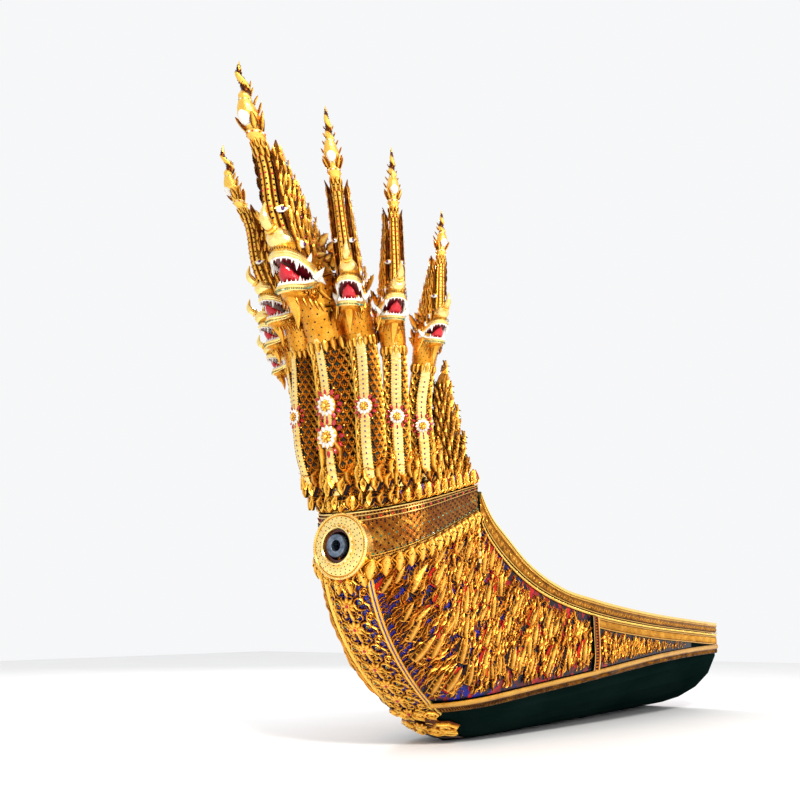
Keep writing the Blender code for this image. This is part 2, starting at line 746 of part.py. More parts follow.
def add_crown():
    """The base that the necks rise from, the leaves round it and the two carved flames at the nape."""
    shell = solids["hull_shell"]
    stations = (0.07, 0.1, 0.15, 0.22, 0.32, 0.45, 0.65, NAPE_S - 0.01)
    maker = slab(
        stations,
        lambda s: half_breadth(CROWN_FRONT_Z, s) - 0.032,
        line_above(crown, GAP),
        line_above(crown, 0.05),
    )
    base = node("crown_base", maker, ("gold", GOLD))
    solids["crown_base"] = base
    points = crown_outline(2 * LEAF_COUNT + 1)
    centre = Vector((0.6, 0.0, 0.0))
    foot, mid, top = [], [], []
    for i, point in enumerate(points):
        peak = LEAF_TALL if i % 2 else 0.028
        lean = (Vector((point.x, point.y, 0.0)) - centre).normalized() * 0.16
        foot.append(point + Vector((0, 0, 0.002)))
        mid.append(point + Vector((0, 0, 0.022)) + lean * 0.022)
        top.append(point + Vector((0, 0, peak)) + lean * peak)
    solids["leaf_row"] = node("leaf_row", sheet([foot, mid, top], 0.009, 0.009), ("gold", GOLD))

    def add_flame(side, word):
        forward, right, up = Vector((1, 0, 0)), Vector((0, 1, 0)), Vector((0, 0, 1))
        frame = (Vector((0.0, side * 0.355, 0.0)), forward, right, up, 1.0)
        made = node(f"nape_flame_{word}", blade(frame, NAPE_PATH, NAPE_HALVES), ("gold", GOLD))
        seat(made, base, shell)

    both_sides(add_flame)


HEAD_PATH = (
    (-1.05, 0, 0.75),
    (-0.6, 0, 0.8),
    (0.0, 0, 0.95),
    (0.7, 0, 1.15),
    (1.5, 0, 1.4),
    (2.3, 0, 1.55),
    (3.1, 0, 1.65),
    (3.55, 0, 1.75),
)
HEAD_HALVES = (
    (0.35, 0.45),
    (0.8, 0.95),
    (1.0, 1.15),
    (0.95, 1.0),
    (0.85, 0.85),
    (0.76, 0.76),
    (0.6, 0.7),
    (0.28, 0.36),
)
NOSE_PATH = ((3.1, 0, 1.9), (3.7, 0, 2.15), (4.05, 0, 2.45), (4.15, 0, 2.9), (4.1, 0, 3.4))
NOSE_HALVES = ((0.35, 0.35), (0.32, 0.3), (0.34, 0.32), (0.24, 0.22), (0.06, 0.06))
JAW_PATH = ((0.35, 0, -0.1), (0.85, 0, -0.42), (1.35, 0, -0.7), (1.85, 0, -0.95), (2.35, 0, -1.1))
JAW_HALVES = ((0.75, 0.36), (0.8, 0.42), (0.72, 0.38), (0.58, 0.3), (0.28, 0.16))
CREST_SHARES = (0.0, 0.1, 0.21, 0.33, 0.45, 0.55, 0.62, 0.7, 0.78, 0.88, 1.0)
CREST_HALVES = (
    (0.6, 0.9),
    (0.52, 0.75),
    (0.5, 0.62),
    (0.48, 0.58),
    (0.46, 0.54),
    (0.44, 0.5),
    (0.4, 0.42),
    (0.6, 0.7),
    (0.36, 0.38),
    (0.24, 0.3),
    (0.03, 0.03),
)
CREST_ROOT = 2.2
CREST_LEAN = ((0, 0), (0.1, 0.15), (0.21, 0.27), (0.45, 0.42), (0.57, 0.57), (0.7, 0.76), (0.88, 0.9), (1, 1))
HORN_SHARES = (0.0, 0.12, 0.21, 0.33, 0.45, 0.53, 0.58)
HORN_BACK = (1.3, 1.4, 1.2, 0.95, 0.75, 0.8, 1.0)
HORN_SIDE = (0.6, 0.64, 0.62, 0.6, 0.6, 0.68, 0.85)
HORN_HALVES = ((0.3, 1.5), (0.3, 1.35), (0.28, 1.15), (0.26, 0.9), (0.22, 0.6), (0.14, 0.3), (0.03, 0.05))
SPIKE_SHARES = (0.08, 0.18, 0.28, 0.38)
SPIKE_HALVES = ((0.4, 0.6), (0.26, 0.36), (0.03, 0.04))
crest_lean = curve(CREST_LEAN)
mane_back = curve([(x, back + deep) for x, back, (_, deep) in zip(HORN_SHARES, HORN_BACK, HORN_HALVES)])


def crest_point(tip, unit, side, share, back=0.0, out=0.0):
    """Point of the crest's line at this share of its height, or a point behind it and beside it."""
    reach, inboard, rise = (length / unit for length in tip)
    forward = CREST_ROOT + (reach - CREST_ROOT) * crest_lean(share)
    return (forward - back, out - side * inboard * share, 1.3 + (rise - 1.3) * share)


def crest_blades(tip, unit, side):
    """Paths and half-widths of the crest, the two horns beside it and the spikes behind it."""
    crest = [crest_point(tip, unit, side, share) for share in CREST_SHARES]
    blades = [(crest, CREST_HALVES)]
    for hand in (-1, 1):
        steps = zip(HORN_SHARES, HORN_BACK, HORN_SIDE)
        blades.append(([crest_point(tip, unit, side, *(x, b, hand * r)) for x, b, r in steps], HORN_HALVES))
    for share in SPIKE_SHARES:
        back = mane_back(share)
        tip_back = mane_back(share + 0.12) + 0.45
        spots = ((share, 0.55 * back), (share + 0.05, 0.85 * back), (share + 0.12, tip_back))
        blades.append(([crest_point(tip, unit, side, x, back) for x, back in spots], SPIKE_HALVES))
    return blades


def neck_name(look, word):
    return look[0] if look[0] == "centre" else f"{look[0]}_{word}"


def add_neck(look, side, word):
    """One serpent's neck, rising from the crown and leaning out to its head."""
    _, _, radius, _, axis, _ = look
    station = curve([(z, s) for s, _, z in axis])
    offset = curve([(z, y) for _, y, z in axis])
    heights = along(axis[0][2], axis[-1][2], 10)
    centres = [(station(z), side * offset(z), z) for z in heights]
    radii = [radius * (1.12 - 0.16 * i / 9) for i in range(10)]
    neck = node(f"neck_{neck_name(look, word)}", tube(centres, radii), ("gold", GOLD))
    solids[neck.name] = seat(neck, *(solids[carrier] for carrier in NECK_CARRIERS if carrier in solids))


def add_head(look, side, word):
    """One serpent's head, with its jaw, nose and horned crest, carried by its neck."""
    _, heading, _, unit, axis, tip = look
    turn = math.radians(heading)
    forward = Vector((-math.cos(turn), side * math.sin(turn), 0))
    up = Vector((0, 0, 1))
    s, y, z = axis[-1]
    frame = (Vector((s, side * y, z)), forward, forward.cross(up), up, unit)
    head = node(f"head_{neck_name(look, word)}", blade(frame, HEAD_PATH, HEAD_HALVES, 10), ("gold", GOLD))
    extras = [(JAW_PATH, JAW_HALVES), (NOSE_PATH, NOSE_HALVES)] + crest_blades(tip, unit, side)
    for path, halves in extras:
        extra = node("extra", blade(frame, path, halves), ("gold", GOLD))
        combine(head, extra, "UNION")
    seat(head, *(solids[name] for name in solids if name.startswith(("neck_", "head_"))))
    solids[head.name] = head


def add_serpents():
    """The seven serpents: the centre one first, then each pair outwards, all necks before the heads."""
    for build in (add_neck, add_head):
        build(NECKS[0], 1, "centre")
        for look in NECKS[1:]:
            both_sides(lambda side, word: build(look, side, word))


def to_part_frame():
    """Moves every solid so that the origin is on the hull joint."""
    for made in bpy.data.objects:
        made.location = (-JOINT_S, 0.0, -JOINT_Z)


solids = {}
for leftover in list(bpy.data.objects):
    bpy.data.objects.remove(leftover)
solids["hull_shell"] = hull_shell()
add_port()
add_stem()
both_sides(add_collar)
both_sides(add_gunwale)
both_sides(add_panels)
add_crown()
add_serpents()
add_inside()
to_part_frame()
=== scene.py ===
"""The bow of a royal barge, dressed: gilded carving, glass inlay, lacquer and seven serpent heads.

Shapes are drawn in the bow's frame, as the solids were: s runs aft from the gun port, y to starboard, z up.
"""

import math

import bpy
import numpy as np
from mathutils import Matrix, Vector


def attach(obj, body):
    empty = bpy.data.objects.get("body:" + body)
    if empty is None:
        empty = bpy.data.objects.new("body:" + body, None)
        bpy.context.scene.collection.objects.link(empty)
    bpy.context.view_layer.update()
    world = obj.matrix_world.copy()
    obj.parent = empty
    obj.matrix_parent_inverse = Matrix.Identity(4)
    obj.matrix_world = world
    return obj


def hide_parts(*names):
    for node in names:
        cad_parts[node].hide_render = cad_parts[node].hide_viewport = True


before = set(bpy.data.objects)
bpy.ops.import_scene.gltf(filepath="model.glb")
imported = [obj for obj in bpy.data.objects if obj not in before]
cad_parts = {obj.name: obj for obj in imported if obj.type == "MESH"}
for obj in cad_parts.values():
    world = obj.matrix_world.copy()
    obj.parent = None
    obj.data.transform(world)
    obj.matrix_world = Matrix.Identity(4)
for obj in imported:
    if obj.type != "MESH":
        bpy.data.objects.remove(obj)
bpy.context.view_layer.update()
rng = np.random.default_rng(7)

# Sizes shared with the solids, in metres
JOINT_S = 4.50
AFT_END = JOINT_S - 0.001
JOINT_Z = 0.35
ORIGIN = (JOINT_S, 0.0, JOINT_Z)
STEM_FACE = 0.04
STEM_RAKE = 1.12
STEM_TOP = 1.25
STEM_POWER = 2.15
CROWN_FRONT_Z = 1.385
COLLAR_FOOT_Z = 1.095
COLLAR_LEVEL = 1.074
COLLAR_DEEP = 0.305
KEEL_HALF = 0.05
BILGE_TOP = 0.55
ENTRY_LENGTH = 0.45
ENTRY_POWER = 2.2
PORT_Z = 1.187
PORT_RING_RADIUS = 0.197
PORT_BORE_RADIUS = 0.098
BORDER_HALF = 0.155
STRAP_S = 2.22
STRAP_AHEAD = 0.033
STRAP_WIDE = 0.076
STRAP_BUDS = 18
AFT_FIELD_START = STRAP_S + 0.044
NAPE_S = 0.93
GUNWALE_START = 0.955
RIB_DEEP = 0.085
LOWER_DEEP = 0.07
AFT_PANEL_END = 3.9
SIDE_LENGTH = 4.89
LEAF_COUNT = 27
GUNWALE_HEIGHTS = (
    (0.90, 1.66),
    (0.986, 1.51),
    (1.07, 1.406),
    (1.224, 1.286),
    (1.454, 1.122),
    (1.824, 0.965),
    (2.208, 0.893),
    (2.957, 0.808),
    (4.256, 0.728),
    (4.80, 0.705),
)
HALF_BREADTHS = (
    (0.0, 0.33),
    (0.5, 0.372),
    (0.95, 0.41),
    (1.5, 0.50),
    (2.3, 0.65),
    (3.3, 0.77),
    (4.8, 0.88),
)
BEAD_HEIGHTS = (
    (0.93, 1.468),
    (1.0, 1.345),
    (1.091, 1.25),
    (1.342, 1.073),
    (1.637, 0.942),
    (2.157, 0.817),
    (2.947, 0.727),
    (4.032, 0.662),
    (4.8, 0.625),
)
LOWER_BAND_HEIGHTS = (
    (0.70, 0.205),
    (1.20, 0.249),
    (1.88, 0.315),
    (2.70, 0.395),
    (3.30, 0.443),
    (4.0, 0.475),
    (4.8, 0.49),
)
LEVEL_SLOPES = ((0.0, 0.0), (0.16, 0.09), (0.6, 0.25), (1.095, 0.42), (1.385, 0.276), (1.6, 0.276))
CENTRE_AXIS = (
    (0.16, 0.0, 1.45),
    (0.05, 0.0, 1.72),
    (0.01, 0.0, 2.03),
    (-0.09, 0.0, 2.38),
    (-0.27, 0.0, 2.71),
)
FIRST_AXIS = (
    (0.15, 0.19, 1.45),
    (0.02, 0.23, 1.75),
    (-0.02, 0.24, 2.03),
    (-0.065, 0.225, 2.34),
    (-0.156, 0.208, 2.60),
)
SECOND_AXIS = (
    (0.31, 0.245, 1.49),
    (0.18, 0.31, 1.75),
    (0.11, 0.345, 2.0),
    (0.05, 0.368, 2.30),
    (0.0, 0.372, 2.525),
)
THIRD_AXIS = (
    (0.51, 0.28, 1.55),
    (0.36, 0.37, 1.78),
    (0.25, 0.42, 2.0),
    (0.2, 0.475, 2.22),
    (0.19, 0.51, 2.41),
)
NECKS = (
    ("centre", 0, 0.125, 0.108, CENTRE_AXIS, (0.72, 0.0, 1.13)),
    ("first", 30, 0.080, 0.078, FIRST_AXIS, (0.56, 0.10, 0.975)),
    ("second", 47, 0.070, 0.070, SECOND_AXIS, (0.217, 0.04, 0.995)),
    ("third", 62, 0.066, 0.062, THIRD_AXIS, (0.20, 0.0, 0.755)),
)


# Curves and the hull's surface
def curve(xs, ys):
    """A smooth function through points that takes arrays, straight beyond its ends."""
    xs, ys = np.array(xs, float), np.array(ys, float)
    steps = np.diff(ys) / np.diff(xs)
    slopes = np.concatenate(([steps[0]], (steps[:-1] + steps[1:]) / 2, [steps[-1]]))
    slopes[1:-1][steps[:-1] * steps[1:] <= 0] = 0.0

    def value(x):
        x = np.asarray(x, float)
        i = np.clip(np.searchsorted(xs, x) - 1, 0, len(xs) - 2)
        width = xs[i + 1] - xs[i]
        t = (x - xs[i]) / width
        inside = ys[i] * (1 + 2 * t) * (1 - t) ** 2 + ys[i + 1] * t * t * (3 - 2 * t)
        inside = inside + width * (slopes[i] * t * (1 - t) ** 2 - slopes[i + 1] * t * t * (1 - t))
        below = ys[0] + slopes[0] * (x - xs[0])
        above = ys[-1] + slopes[-1] * (x - xs[-1])
        return np.where(x < xs[0], below, np.where(x > xs[-1], above, inside))

    return value


gunwale = curve(*zip(*GUNWALE_HEIGHTS))
beam = curve(*zip(*HALF_BREADTHS))
level_slope = curve(*zip(*LEVEL_SLOPES))
bead_line = curve(*zip(*BEAD_HEIGHTS))
lower_line = curve(*zip(*LOWER_BAND_HEIGHTS))


def bisect(function, low, high):
    """Where a rising function of an array crosses zero, between two arrays."""
    low, high = np.array(low, float), np.array(high, float)
    for _ in range(36):
        middle = (low + high) / 2
        over = function(middle) > 0
        high = np.where(over, middle, high)
        low = np.where(over, low, middle)
    return (low + high) / 2


def stem(front_z):
    return STEM_FACE + STEM_RAKE * np.maximum(0.0, 1 - front_z / STEM_TOP) ** STEM_POWER


def level_height(front_z, s):
    return front_z + level_slope(front_z) * (s - stem(front_z))


def half_breadth(front_z, s):
    q = np.clip((s - stem(front_z)) / ENTRY_LENGTH, 0.0, 1.0)
    entry = (1 - (1 - q) ** ENTRY_POWER) ** (1 / ENTRY_POWER)
    bilge = np.clip(level_height(front_z, s) / BILGE_TOP, 0.0, 1.0)
    return entry * (KEEL_HALF + (beam(s) - KEEL_HALF) * np.sqrt(1 - (1 - bilge) ** 2))


def on_level(front_z, s, side):
    front_z, s = np.broadcast_arrays(np.asarray(front_z, float), np.asarray(s, float))
    return np.stack([s, side * half_breadth(front_z, s), level_height(front_z, s)], axis=-1)


def on_hull(s, z, side):
    """Points of the hull's outside at stations s and heights z."""
    s, z = np.broadcast_arrays(np.asarray(s, float), np.asarray(z, float))
    front_z = bisect(lambda g: level_height(g, s) - z, np.zeros(s.shape), np.full(s.shape, 1.6))
    return on_level(front_z, s, side)


def collar_foot(s):
    return level_height(COLLAR_FOOT_Z, s)


def at_offset(front_z, offset, side):
    """Points of level lines at given distances from the centreline, near the stem."""
    front_z, offset = np.broadcast_arrays(np.asarray(front_z, float), np.asarray(offset, float))
    start = stem(front_z)
    s = bisect(lambda x: half_breadth(front_z, x) - offset, start, start + ENTRY_LENGTH)
    return on_level(front_z, s, side)


UP = np.array([0.0, 0.0, 1.0])


def lengths(line):
    """Distances along a line of points, from its start."""
    return np.concatenate(([0.0], np.cumsum(np.linalg.norm(np.diff(line, axis=0), axis=1))))


def circle(count, phase=0.0):
    """Angles evenly round a circle."""
    return 2 * math.pi * (np.arange(count) + phase) / count


def unit(v):
    v = np.asarray(v, float)
    return v / np.maximum(np.linalg.norm(v, axis=-1, keepdims=True), 1e-12)


class Sheet:
    """A curved surface kept as tables of points and normals over two even scales, u and v."""

    def read(self, u, v, out):
        """Points at arrays of u and v, and of height above the surface."""
        u, v, out = np.broadcast_arrays(*(np.asarray(x, float) for x in (u, v, out)))
        i, j = (
            np.clip((at - scale[0]) / (scale[1] - scale[0]), 0, len(scale) - 1.001)
            for at, scale in ((u, self.u), (v, self.v))
        )
        i0, j0 = i.astype(int), j.astype(int)
        fi, fj = (i - i0)[..., None], (j - j0)[..., None]

        def blend(table):
            low = table[i0, j0] * (1 - fi) + table[i0 + 1, j0] * fi
            high = table[i0, j0 + 1] * (1 - fi) + table[i0 + 1, j0 + 1] * fi
            return low * (1 - fj) + high * fj

        return blend(self.points) + unit(blend(self.normals)) * out[..., None]


class Surface(Sheet):
    """The hull's side, laid out flat: u is the distance along a level line from the stem, v the height."""

    def __init__(self):
        self.u = np.linspace(0.0, SIDE_LENGTH + 0.01, 330)
        self.v = np.linspace(0.02, 1.66, 165)
        levels = np.linspace(0.0, CROWN_FRONT_Z, 110)
        rows = []
        for g in levels:
            start = float(stem(g))
            s = start + 5.4 * np.linspace(0.0, 1.0, 1500) ** 2.2
            line = on_level(g, s, 1)
            reach = lengths(line)
            at = np.interp(self.u, reach, s)
            rows.append(on_level(g, at, 1))
        rows = np.array(rows)
        self.points = np.zeros((len(self.u), len(self.v), 3))
        for i in range(len(self.u)):
            column = rows[:, i]
            for k in range(3):
                self.points[i, :, k] = np.interp(self.v, column[:, 2], column[:, k])
            over = self.v > column[-1, 2]
            self.points[i, over, 2] = self.v[over]
        along = np.gradient(self.points, axis=0)
        up = np.gradient(self.points, axis=1)
        normal = unit(np.cross(up, along))
        normal[normal[..., 1] < 0] *= -1
        normal[0] = np.array([-1.0, 0.0, 0.0])
        self.normals = normal

    def at(self, a, z, out, side):
        """Points over the hull, for arrays of distance, height and height above the surface."""
        place = self.read(a, z, out)
        place[..., 1] *= side
        return place

    def reach(self, s, z):
        """The distance a for stations s at heights z."""
        s, z = np.broadcast_arrays(np.asarray(s, float), np.asarray(z, float))
        return bisect(
            lambda a: self.at(a, z, 0.0, 1)[..., 0] - s, np.zeros(s.shape), np.full(s.shape, SIDE_LENGTH)
        )


hull = Surface()


# Collecting meshes
def turned_over(faces):
    """The same faces, seen from their other side."""
    return [np.asarray(group)[:, ::-1] for group in faces]


class Heap:
    """Vertices, faces, depth of carving and materials of one piece, gathered from many shapes."""

    def __init__(self):
        self.verts, self.deeps, self.loops, self.sizes, self.finishes = [], [], [], [], []
        self.count = 0

    def add(self, verts, faces, deep=0.0, finish=None):
        verts = np.asarray(verts, float).reshape(-1, 3)
        self.verts.append(verts)
        self.deeps.append(np.broadcast_to(np.asarray(deep, float), (len(verts),)))
        for group in faces if isinstance(faces, (list, tuple)) else (faces,):
            group = np.asarray(group)
            self.loops.append((group + self.count).reshape(-1))
            self.sizes.append(np.full(len(group), group.shape[1]))
            self.finishes.append((len(group), finish))
        self.count += len(verts)

    def take(self, shape, finish=None, flip=False):
        """Adds one shape, its faces turned over if asked."""
        verts, faces, deep = shape
        self.add(verts, turned_over(faces) if flip else faces, deep, finish)

    def copies(self, shape, places, finish=None, flips=False):
        """Adds a template at each place, its points given as (count, n, 3), turned over if flips says so."""
        faces, deep = shape[1:]
        count, size = places.shape[:2]
        flips = np.broadcast_to(flips, (count,))
        starts = self.count + size * np.arange(count)
        self.verts.append(places.reshape(-1, 3))
        self.deeps.append(np.tile(deep, count))
        for group in faces:
            every = np.asarray(group)[None] + starts[:, None, None]
            every[flips] = every[flips][:, :, ::-1]
            self.loops.append(every.reshape(-1))
            self.sizes.append(np.full(count * len(group), group.shape[1]))
            self.finishes.append((count * len(group), finish))
        self.count += count * size

    def build(self, name, materials, smooth=False, replaces=()):
        """Makes the object in the part's own frame; a shape with no finish takes the first material."""
        verts = np.concatenate(self.verts) - ORIGIN
        loops = np.concatenate(self.loops).astype(np.int32)
        sizes = np.concatenate(self.sizes).astype(np.int32)
        mesh = bpy.data.meshes.new(name)
        mesh.vertices.add(len(verts))
        mesh.vertices.foreach_set("co", verts.reshape(-1))
        mesh.loops.add(len(loops))
        mesh.loops.foreach_set("vertex_index", loops)
        mesh.polygons.add(len(sizes))
        starts = np.concatenate(([0], np.cumsum(sizes)[:-1])).astype(np.int32)
        mesh.polygons.foreach_set("loop_start", starts)
        mesh.polygons.foreach_set("loop_total", sizes)
        for made in materials:
            mesh.materials.append(made)
        counts, finishes = zip(*self.finishes)
        numbers = [0 if finish is None else materials.index(finish) for finish in finishes]
        mesh.polygons.foreach_set("material_index", np.repeat(numbers, counts).astype(np.int32))
        mesh.polygons.foreach_set("use_smooth", np.full(len(sizes), smooth))
        mesh.update(calc_edges=True)
        mesh.validate()
        # Depth of carving per vertex, which the gold materials paint as shade
        layer = mesh.attributes.new("deep", "FLOAT", "POINT")
        layer.data.foreach_set("value", np.concatenate(self.deeps))
        made = bpy.data.objects.new(name, mesh)
        bpy.context.scene.collection.objects.link(made)
        if smooth:
            mesh.set_sharp_from_angle(angle=math.radians(45))
        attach(made, "root")
        if replaces:
            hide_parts(*replaces)
        return made


def grid_faces(rows, columns, ring=False):
    """Quads of a grid of points, with the columns closed into a ring if asked."""
    i, j = np.meshgrid(np.arange(rows - 1), np.arange(columns if ring else columns - 1), indexing="ij")
    k = (j + 1) % columns
    low, high = i * columns, (i + 1) * columns
    return np.stack([low + j, low + k, high + k, high + j], -1).reshape(-1, 4)


def grid(points, ring=False, deep=0.0):
    """(vertices, faces, depth) from an array of points by row and column."""
    points = np.asarray(points, float)
    faces = [grid_faces(points.shape[0], points.shape[1], ring)]
    return points.reshape(-1, 3), faces, np.broadcast_to(deep, points.shape[:2]).reshape(-1)


def loft(rings, deep=0.0):
    """A tube through rings of equal length, with its ends closed."""
    rings = np.asarray(rings, float)
    rows, columns = rings.shape[:2]
    verts, faces, depth = grid(rings, True, deep)
    ends = np.stack([rings[0].mean(axis=0), rings[-1].mean(axis=0)])
    verts = np.vstack([verts, ends])
    depth = np.concatenate([depth, [depth[0], depth[-1]]])
    j = np.arange(columns)
    k = (j + 1) % columns
    base = (rows - 1) * columns
    low = np.stack([k, j, np.full(columns, rows * columns)], -1)
    high = np.stack([base + j, base + k, np.full(columns, rows * columns + 1)], -1)
    return verts, faces + [np.vstack([low, high])], depth


RIDGE_FLARE = 0.35


def ridge(path, widths, height):
    """A carved stroke lying on z = 0: a sharp-backed ridge along a path of (x, y) points."""
    path = np.asarray(path, float)
    widths = np.broadcast_to(np.asarray(widths, float), (len(path),))
    tangent = unit(np.gradient(path, axis=0))
    normal = np.stack([-tangent[:, 1], tangent[:, 0]], -1)
    lifts = height * np.clip(widths / widths.max(), 0.0, 1.0) ** RIDGE_FLARE
    rows = []
    for place, side, w, lift in zip(path, normal, widths, lifts):
        left, right = place + side * w, place - side * w
        rows.append([[*left, 0.0], [*(place + side * w * 0.12), lift], [*right, 0.0]])
    verts, faces, _ = grid(np.array(rows))
    # Edges 1, back 0: the gold materials paint shade along the stroke's foot
    deep = np.tile([1.0, 0.0, 1.0], len(path))
    return verts, faces, deep


def merge(*shapes):
    """Several templates as one."""
    verts, faces, deep, count = [], [], [], 0
    for v, f, d in shapes:
        verts.append(np.asarray(v))
        deep.append(np.broadcast_to(d, (len(v),)))
        faces += [np.asarray(group) + count for group in f]
        count += len(v)
    return np.vstack(verts), faces, np.concatenate(deep)


def moved(shape, scale=1.0, turn=0.0, shift=(0.0, 0.0, 0.0)):
    """A template scaled, turned about z, and shifted."""
    verts, faces, deep = shape
    verts = verts * scale
    c, s = math.cos(turn), math.sin(turn)
    verts = verts @ np.array([[c, s, 0], [-s, c, 0], [0, 0, 1.0]]) + np.asarray(shift)
    return verts, faces, deep


def arc(centre, radius, start, end, count):
    """Points of an arc, angles in degrees."""
    turns = np.radians(np.linspace(start, end, count))
    return np.stack([centre[0] + radius * np.cos(turns), centre[1] + radius * np.sin(turns)], -1)


def smooth_path(points, count):
    """A smooth line of that many points through a few."""
    points = np.asarray(points, float)
    knots = lengths(points)
    t = np.linspace(0.0, knots[-1], count)
    return np.stack([curve(knots, column)(t) for column in points.T], -1)


def rod(path, radii, sides=8, reference=(0.0, 0.0, 1.0), deep=0.0):
    """A round rod along a path."""
    path = np.asarray(path, float)
    radii = np.broadcast_to(np.asarray(radii, float), (len(path),))
    tangent = unit(np.gradient(path, axis=0))
    across = unit(np.cross(tangent, np.asarray(reference)))
    up = np.cross(across, tangent)
    turns = circle(sides)
    ring = np.cos(turns)[None, :, None] * across[:, None] + np.sin(turns)[None, :, None] * up[:, None]
    return loft(path[:, None] + ring * radii[:, None, None], deep)


# Materials
SOCKETS = {
    "colour": "Base Color",
    "metallic": "Metallic",
    "roughness": "Roughness",
    "coat": "Coat Weight",
    "coat_roughness": "Coat Roughness",
    "specular": "Specular IOR Level",
}


class Look:
    """A Principled material put together node by node, in the part's own coordinates."""

    def __init__(self, name, **sockets):
        self.made = bpy.data.materials.new(name)
        self.made.use_nodes = True
        self.nodes, self.links = self.made.node_tree.nodes, self.made.node_tree.links
        self.shader = self.nodes["Principled BSDF"]
        for label, value in sockets.items():
            self.set(label, value)
        self.place = self.add("ShaderNodeTexCoord").outputs["Object"]

    def set(self, label, value):
        socket = self.shader.inputs[SOCKETS[label]]
        if isinstance(value, bpy.types.NodeSocket):
            self.links.new(value, socket)
        else:
            socket.default_value = (*value, 1.0) if isinstance(value, tuple) else value

    def add(self, kind, inputs=(), **settings):
        node = self.nodes.new(kind)
        for key, value in settings.items():
            setattr(node, key, value)
        for index, value in dict(inputs).items():
            if isinstance(value, bpy.types.NodeSocket):
                self.links.new(value, node.inputs[index])
            else:
                node.inputs[index].default_value = value
        return node

    def noise(self, scale, detail=4.0, rough=0.55, stretch=(1.0, 1.0, 1.0)):
        place = self.add("ShaderNodeMapping", {"Vector": self.place, "Scale": stretch}).outputs[0]
        inputs = {"Vector": place, "Scale": scale, "Detail": detail, "Roughness": rough}
        return self.add("ShaderNodeTexNoise", inputs).outputs["Fac"]

    def cells(self, scale, output="Distance"):
        place = self.add("ShaderNodeMapping", {"Vector": self.place}).outputs[0]
        return self.add("ShaderNodeTexVoronoi", {"Vector": place, "Scale": scale}).outputs[output]

    def attribute(self, name):
        return self.add("ShaderNodeAttribute", attribute_name=name).outputs["Fac"]

    def maths(self, operation, first, second=0.0, clamp=False):
        inputs = {0: first, 1: second}
        return self.add("ShaderNodeMath", inputs, operation=operation, use_clamp=clamp).outputs[0]

    def blend(self, factor, first, second):
        inputs = {0: factor, 6: (*first, 1.0), 7: (*second, 1.0)}
        return self.add("ShaderNodeMix", inputs, data_type="RGBA").outputs[2]

    def span(self, value, low, high):
        """A 0 to 1 value spread from low to high."""
        return self.add("ShaderNodeMapRange", {0: value, 3: low, 4: high}).outputs[0]

    def ramp(self, value, stops):
        node = self.add("ShaderNodeValToRGB", {0: value})
        elements = node.color_ramp.elements
        while len(elements) < len(stops):
            elements.new(0.5)
        for element, (position, colour) in zip(elements, stops):
            element.position = position
            element.color = (*colour, 1.0)
        return node.outputs["Color"]

    def bump(self, height, distance):
        inputs = {"Height": height, "Distance": distance, "Strength": 1.0}
        self.links.new(self.add("ShaderNodeBump", inputs).outputs[0], self.shader.inputs["Normal"])
        return self.made


def gold_look(name, bright, middle, dark, polish=(0.22, 0.42), relief=0.0011):
    """Gold leaf: full gold on the carving's backs, brown in its hollows as painted shade, uneven in tone and
    gloss.
    """
    look = Look(name, metallic=0.9)
    patina = look.noise(11.0, 5.0, 0.65)
    fine = look.noise(230.0, 3.0, 0.6)
    # Painted shade: the deep attribute, how far down in the carving a point lies, darkens the gold towards
    # its last colour
    depth = look.maths("ADD", look.attribute("deep"), look.span(patina, -0.35, 0.35))
    depth = look.maths("ADD", depth, look.span(fine, -0.42, 0.42), clamp=True)
    look.set("colour", look.ramp(depth, ((0.02, bright), (0.36, middle), (0.74, dark))))
    look.set("roughness", look.span(look.noise(60.0), *polish))
    return look.bump(fine, relief)


def glass_look(name, colour, deep_colour, cell=140.0):
    """Small panes of coloured glass, each a little different in tone and set at its own height."""
    look = Look(name, coat=0.4, coat_roughness=0.05, metallic=0.2)
    tone = look.cells(cell, output="Color")
    look.set("colour", look.blend(tone, deep_colour, colour))
    look.set("roughness", look.span(look.noise(40.0), 0.08, 0.3))
    return look.bump(look.cells(cell), 0.0012)


def paint_look(name, colour, worn, gloss=(0.25, 0.5), coat=0.3, specular=0.4):
    """Brushed lacquer or paint, uneven in tone, with fine brush marks."""
    look = Look(name, coat=coat, coat_roughness=0.12, specular=specular)
    tone = look.noise(35.0, 5.0, 0.6)
    look.set("colour", look.blend(look.span(tone, -0.4, 1.2), colour, worn))
    look.set("roughness", look.span(look.noise(90.0), *gloss))
    return look.bump(look.noise(400.0, 2.0, 0.5, (0.2, 1.0, 1.0)), 0.0004)


def mosaic_look(name, panes, cell, drift):
    """Inlay between the carving: panes whose colour drifts from the first to the last along the hull."""
    look = Look(name, coat=0.06, coat_roughness=0.08, specular=0.2)
    along = look.add("ShaderNodeSeparateXYZ", {0: look.place}).outputs[0]
    where = look.maths("MULTIPLY_ADD", along, drift[0])
    where.node.inputs[2].default_value = drift[1]
    tone = look.add("ShaderNodeSeparateColor", {0: look.cells(cell, output="Color")}).outputs[0]
    pick = look.maths("ADD", where, look.span(tone, -0.42, 0.42), clamp=True)
    look.set("colour", look.ramp(pick, panes))
    look.set("roughness", look.span(look.noise(50.0), 0.06, 0.35))
    return look.bump(look.cells(cell), 0.0015)


def wood_look(name, pale, dark):
    """Oiled planks with the grain running fore and aft."""
    look = Look(name, coat=0.15, coat_roughness=0.3)
    grain = look.noise(26.0, 6.0, 0.6, (0.08, 1.0, 1.0))
    pores = look.noise(260.0, 3.0, 0.5, (0.03, 1.0, 1.0))
    tone = look.maths("ADD", grain, look.span(pores, -0.2, 0.2), clamp=True)
    look.set("colour", look.ramp(tone, ((0.25, dark), (0.75, pale))))
    look.set("roughness", look.span(pores, 0.35, 0.6))
    return look.bump(tone, 0.0012)


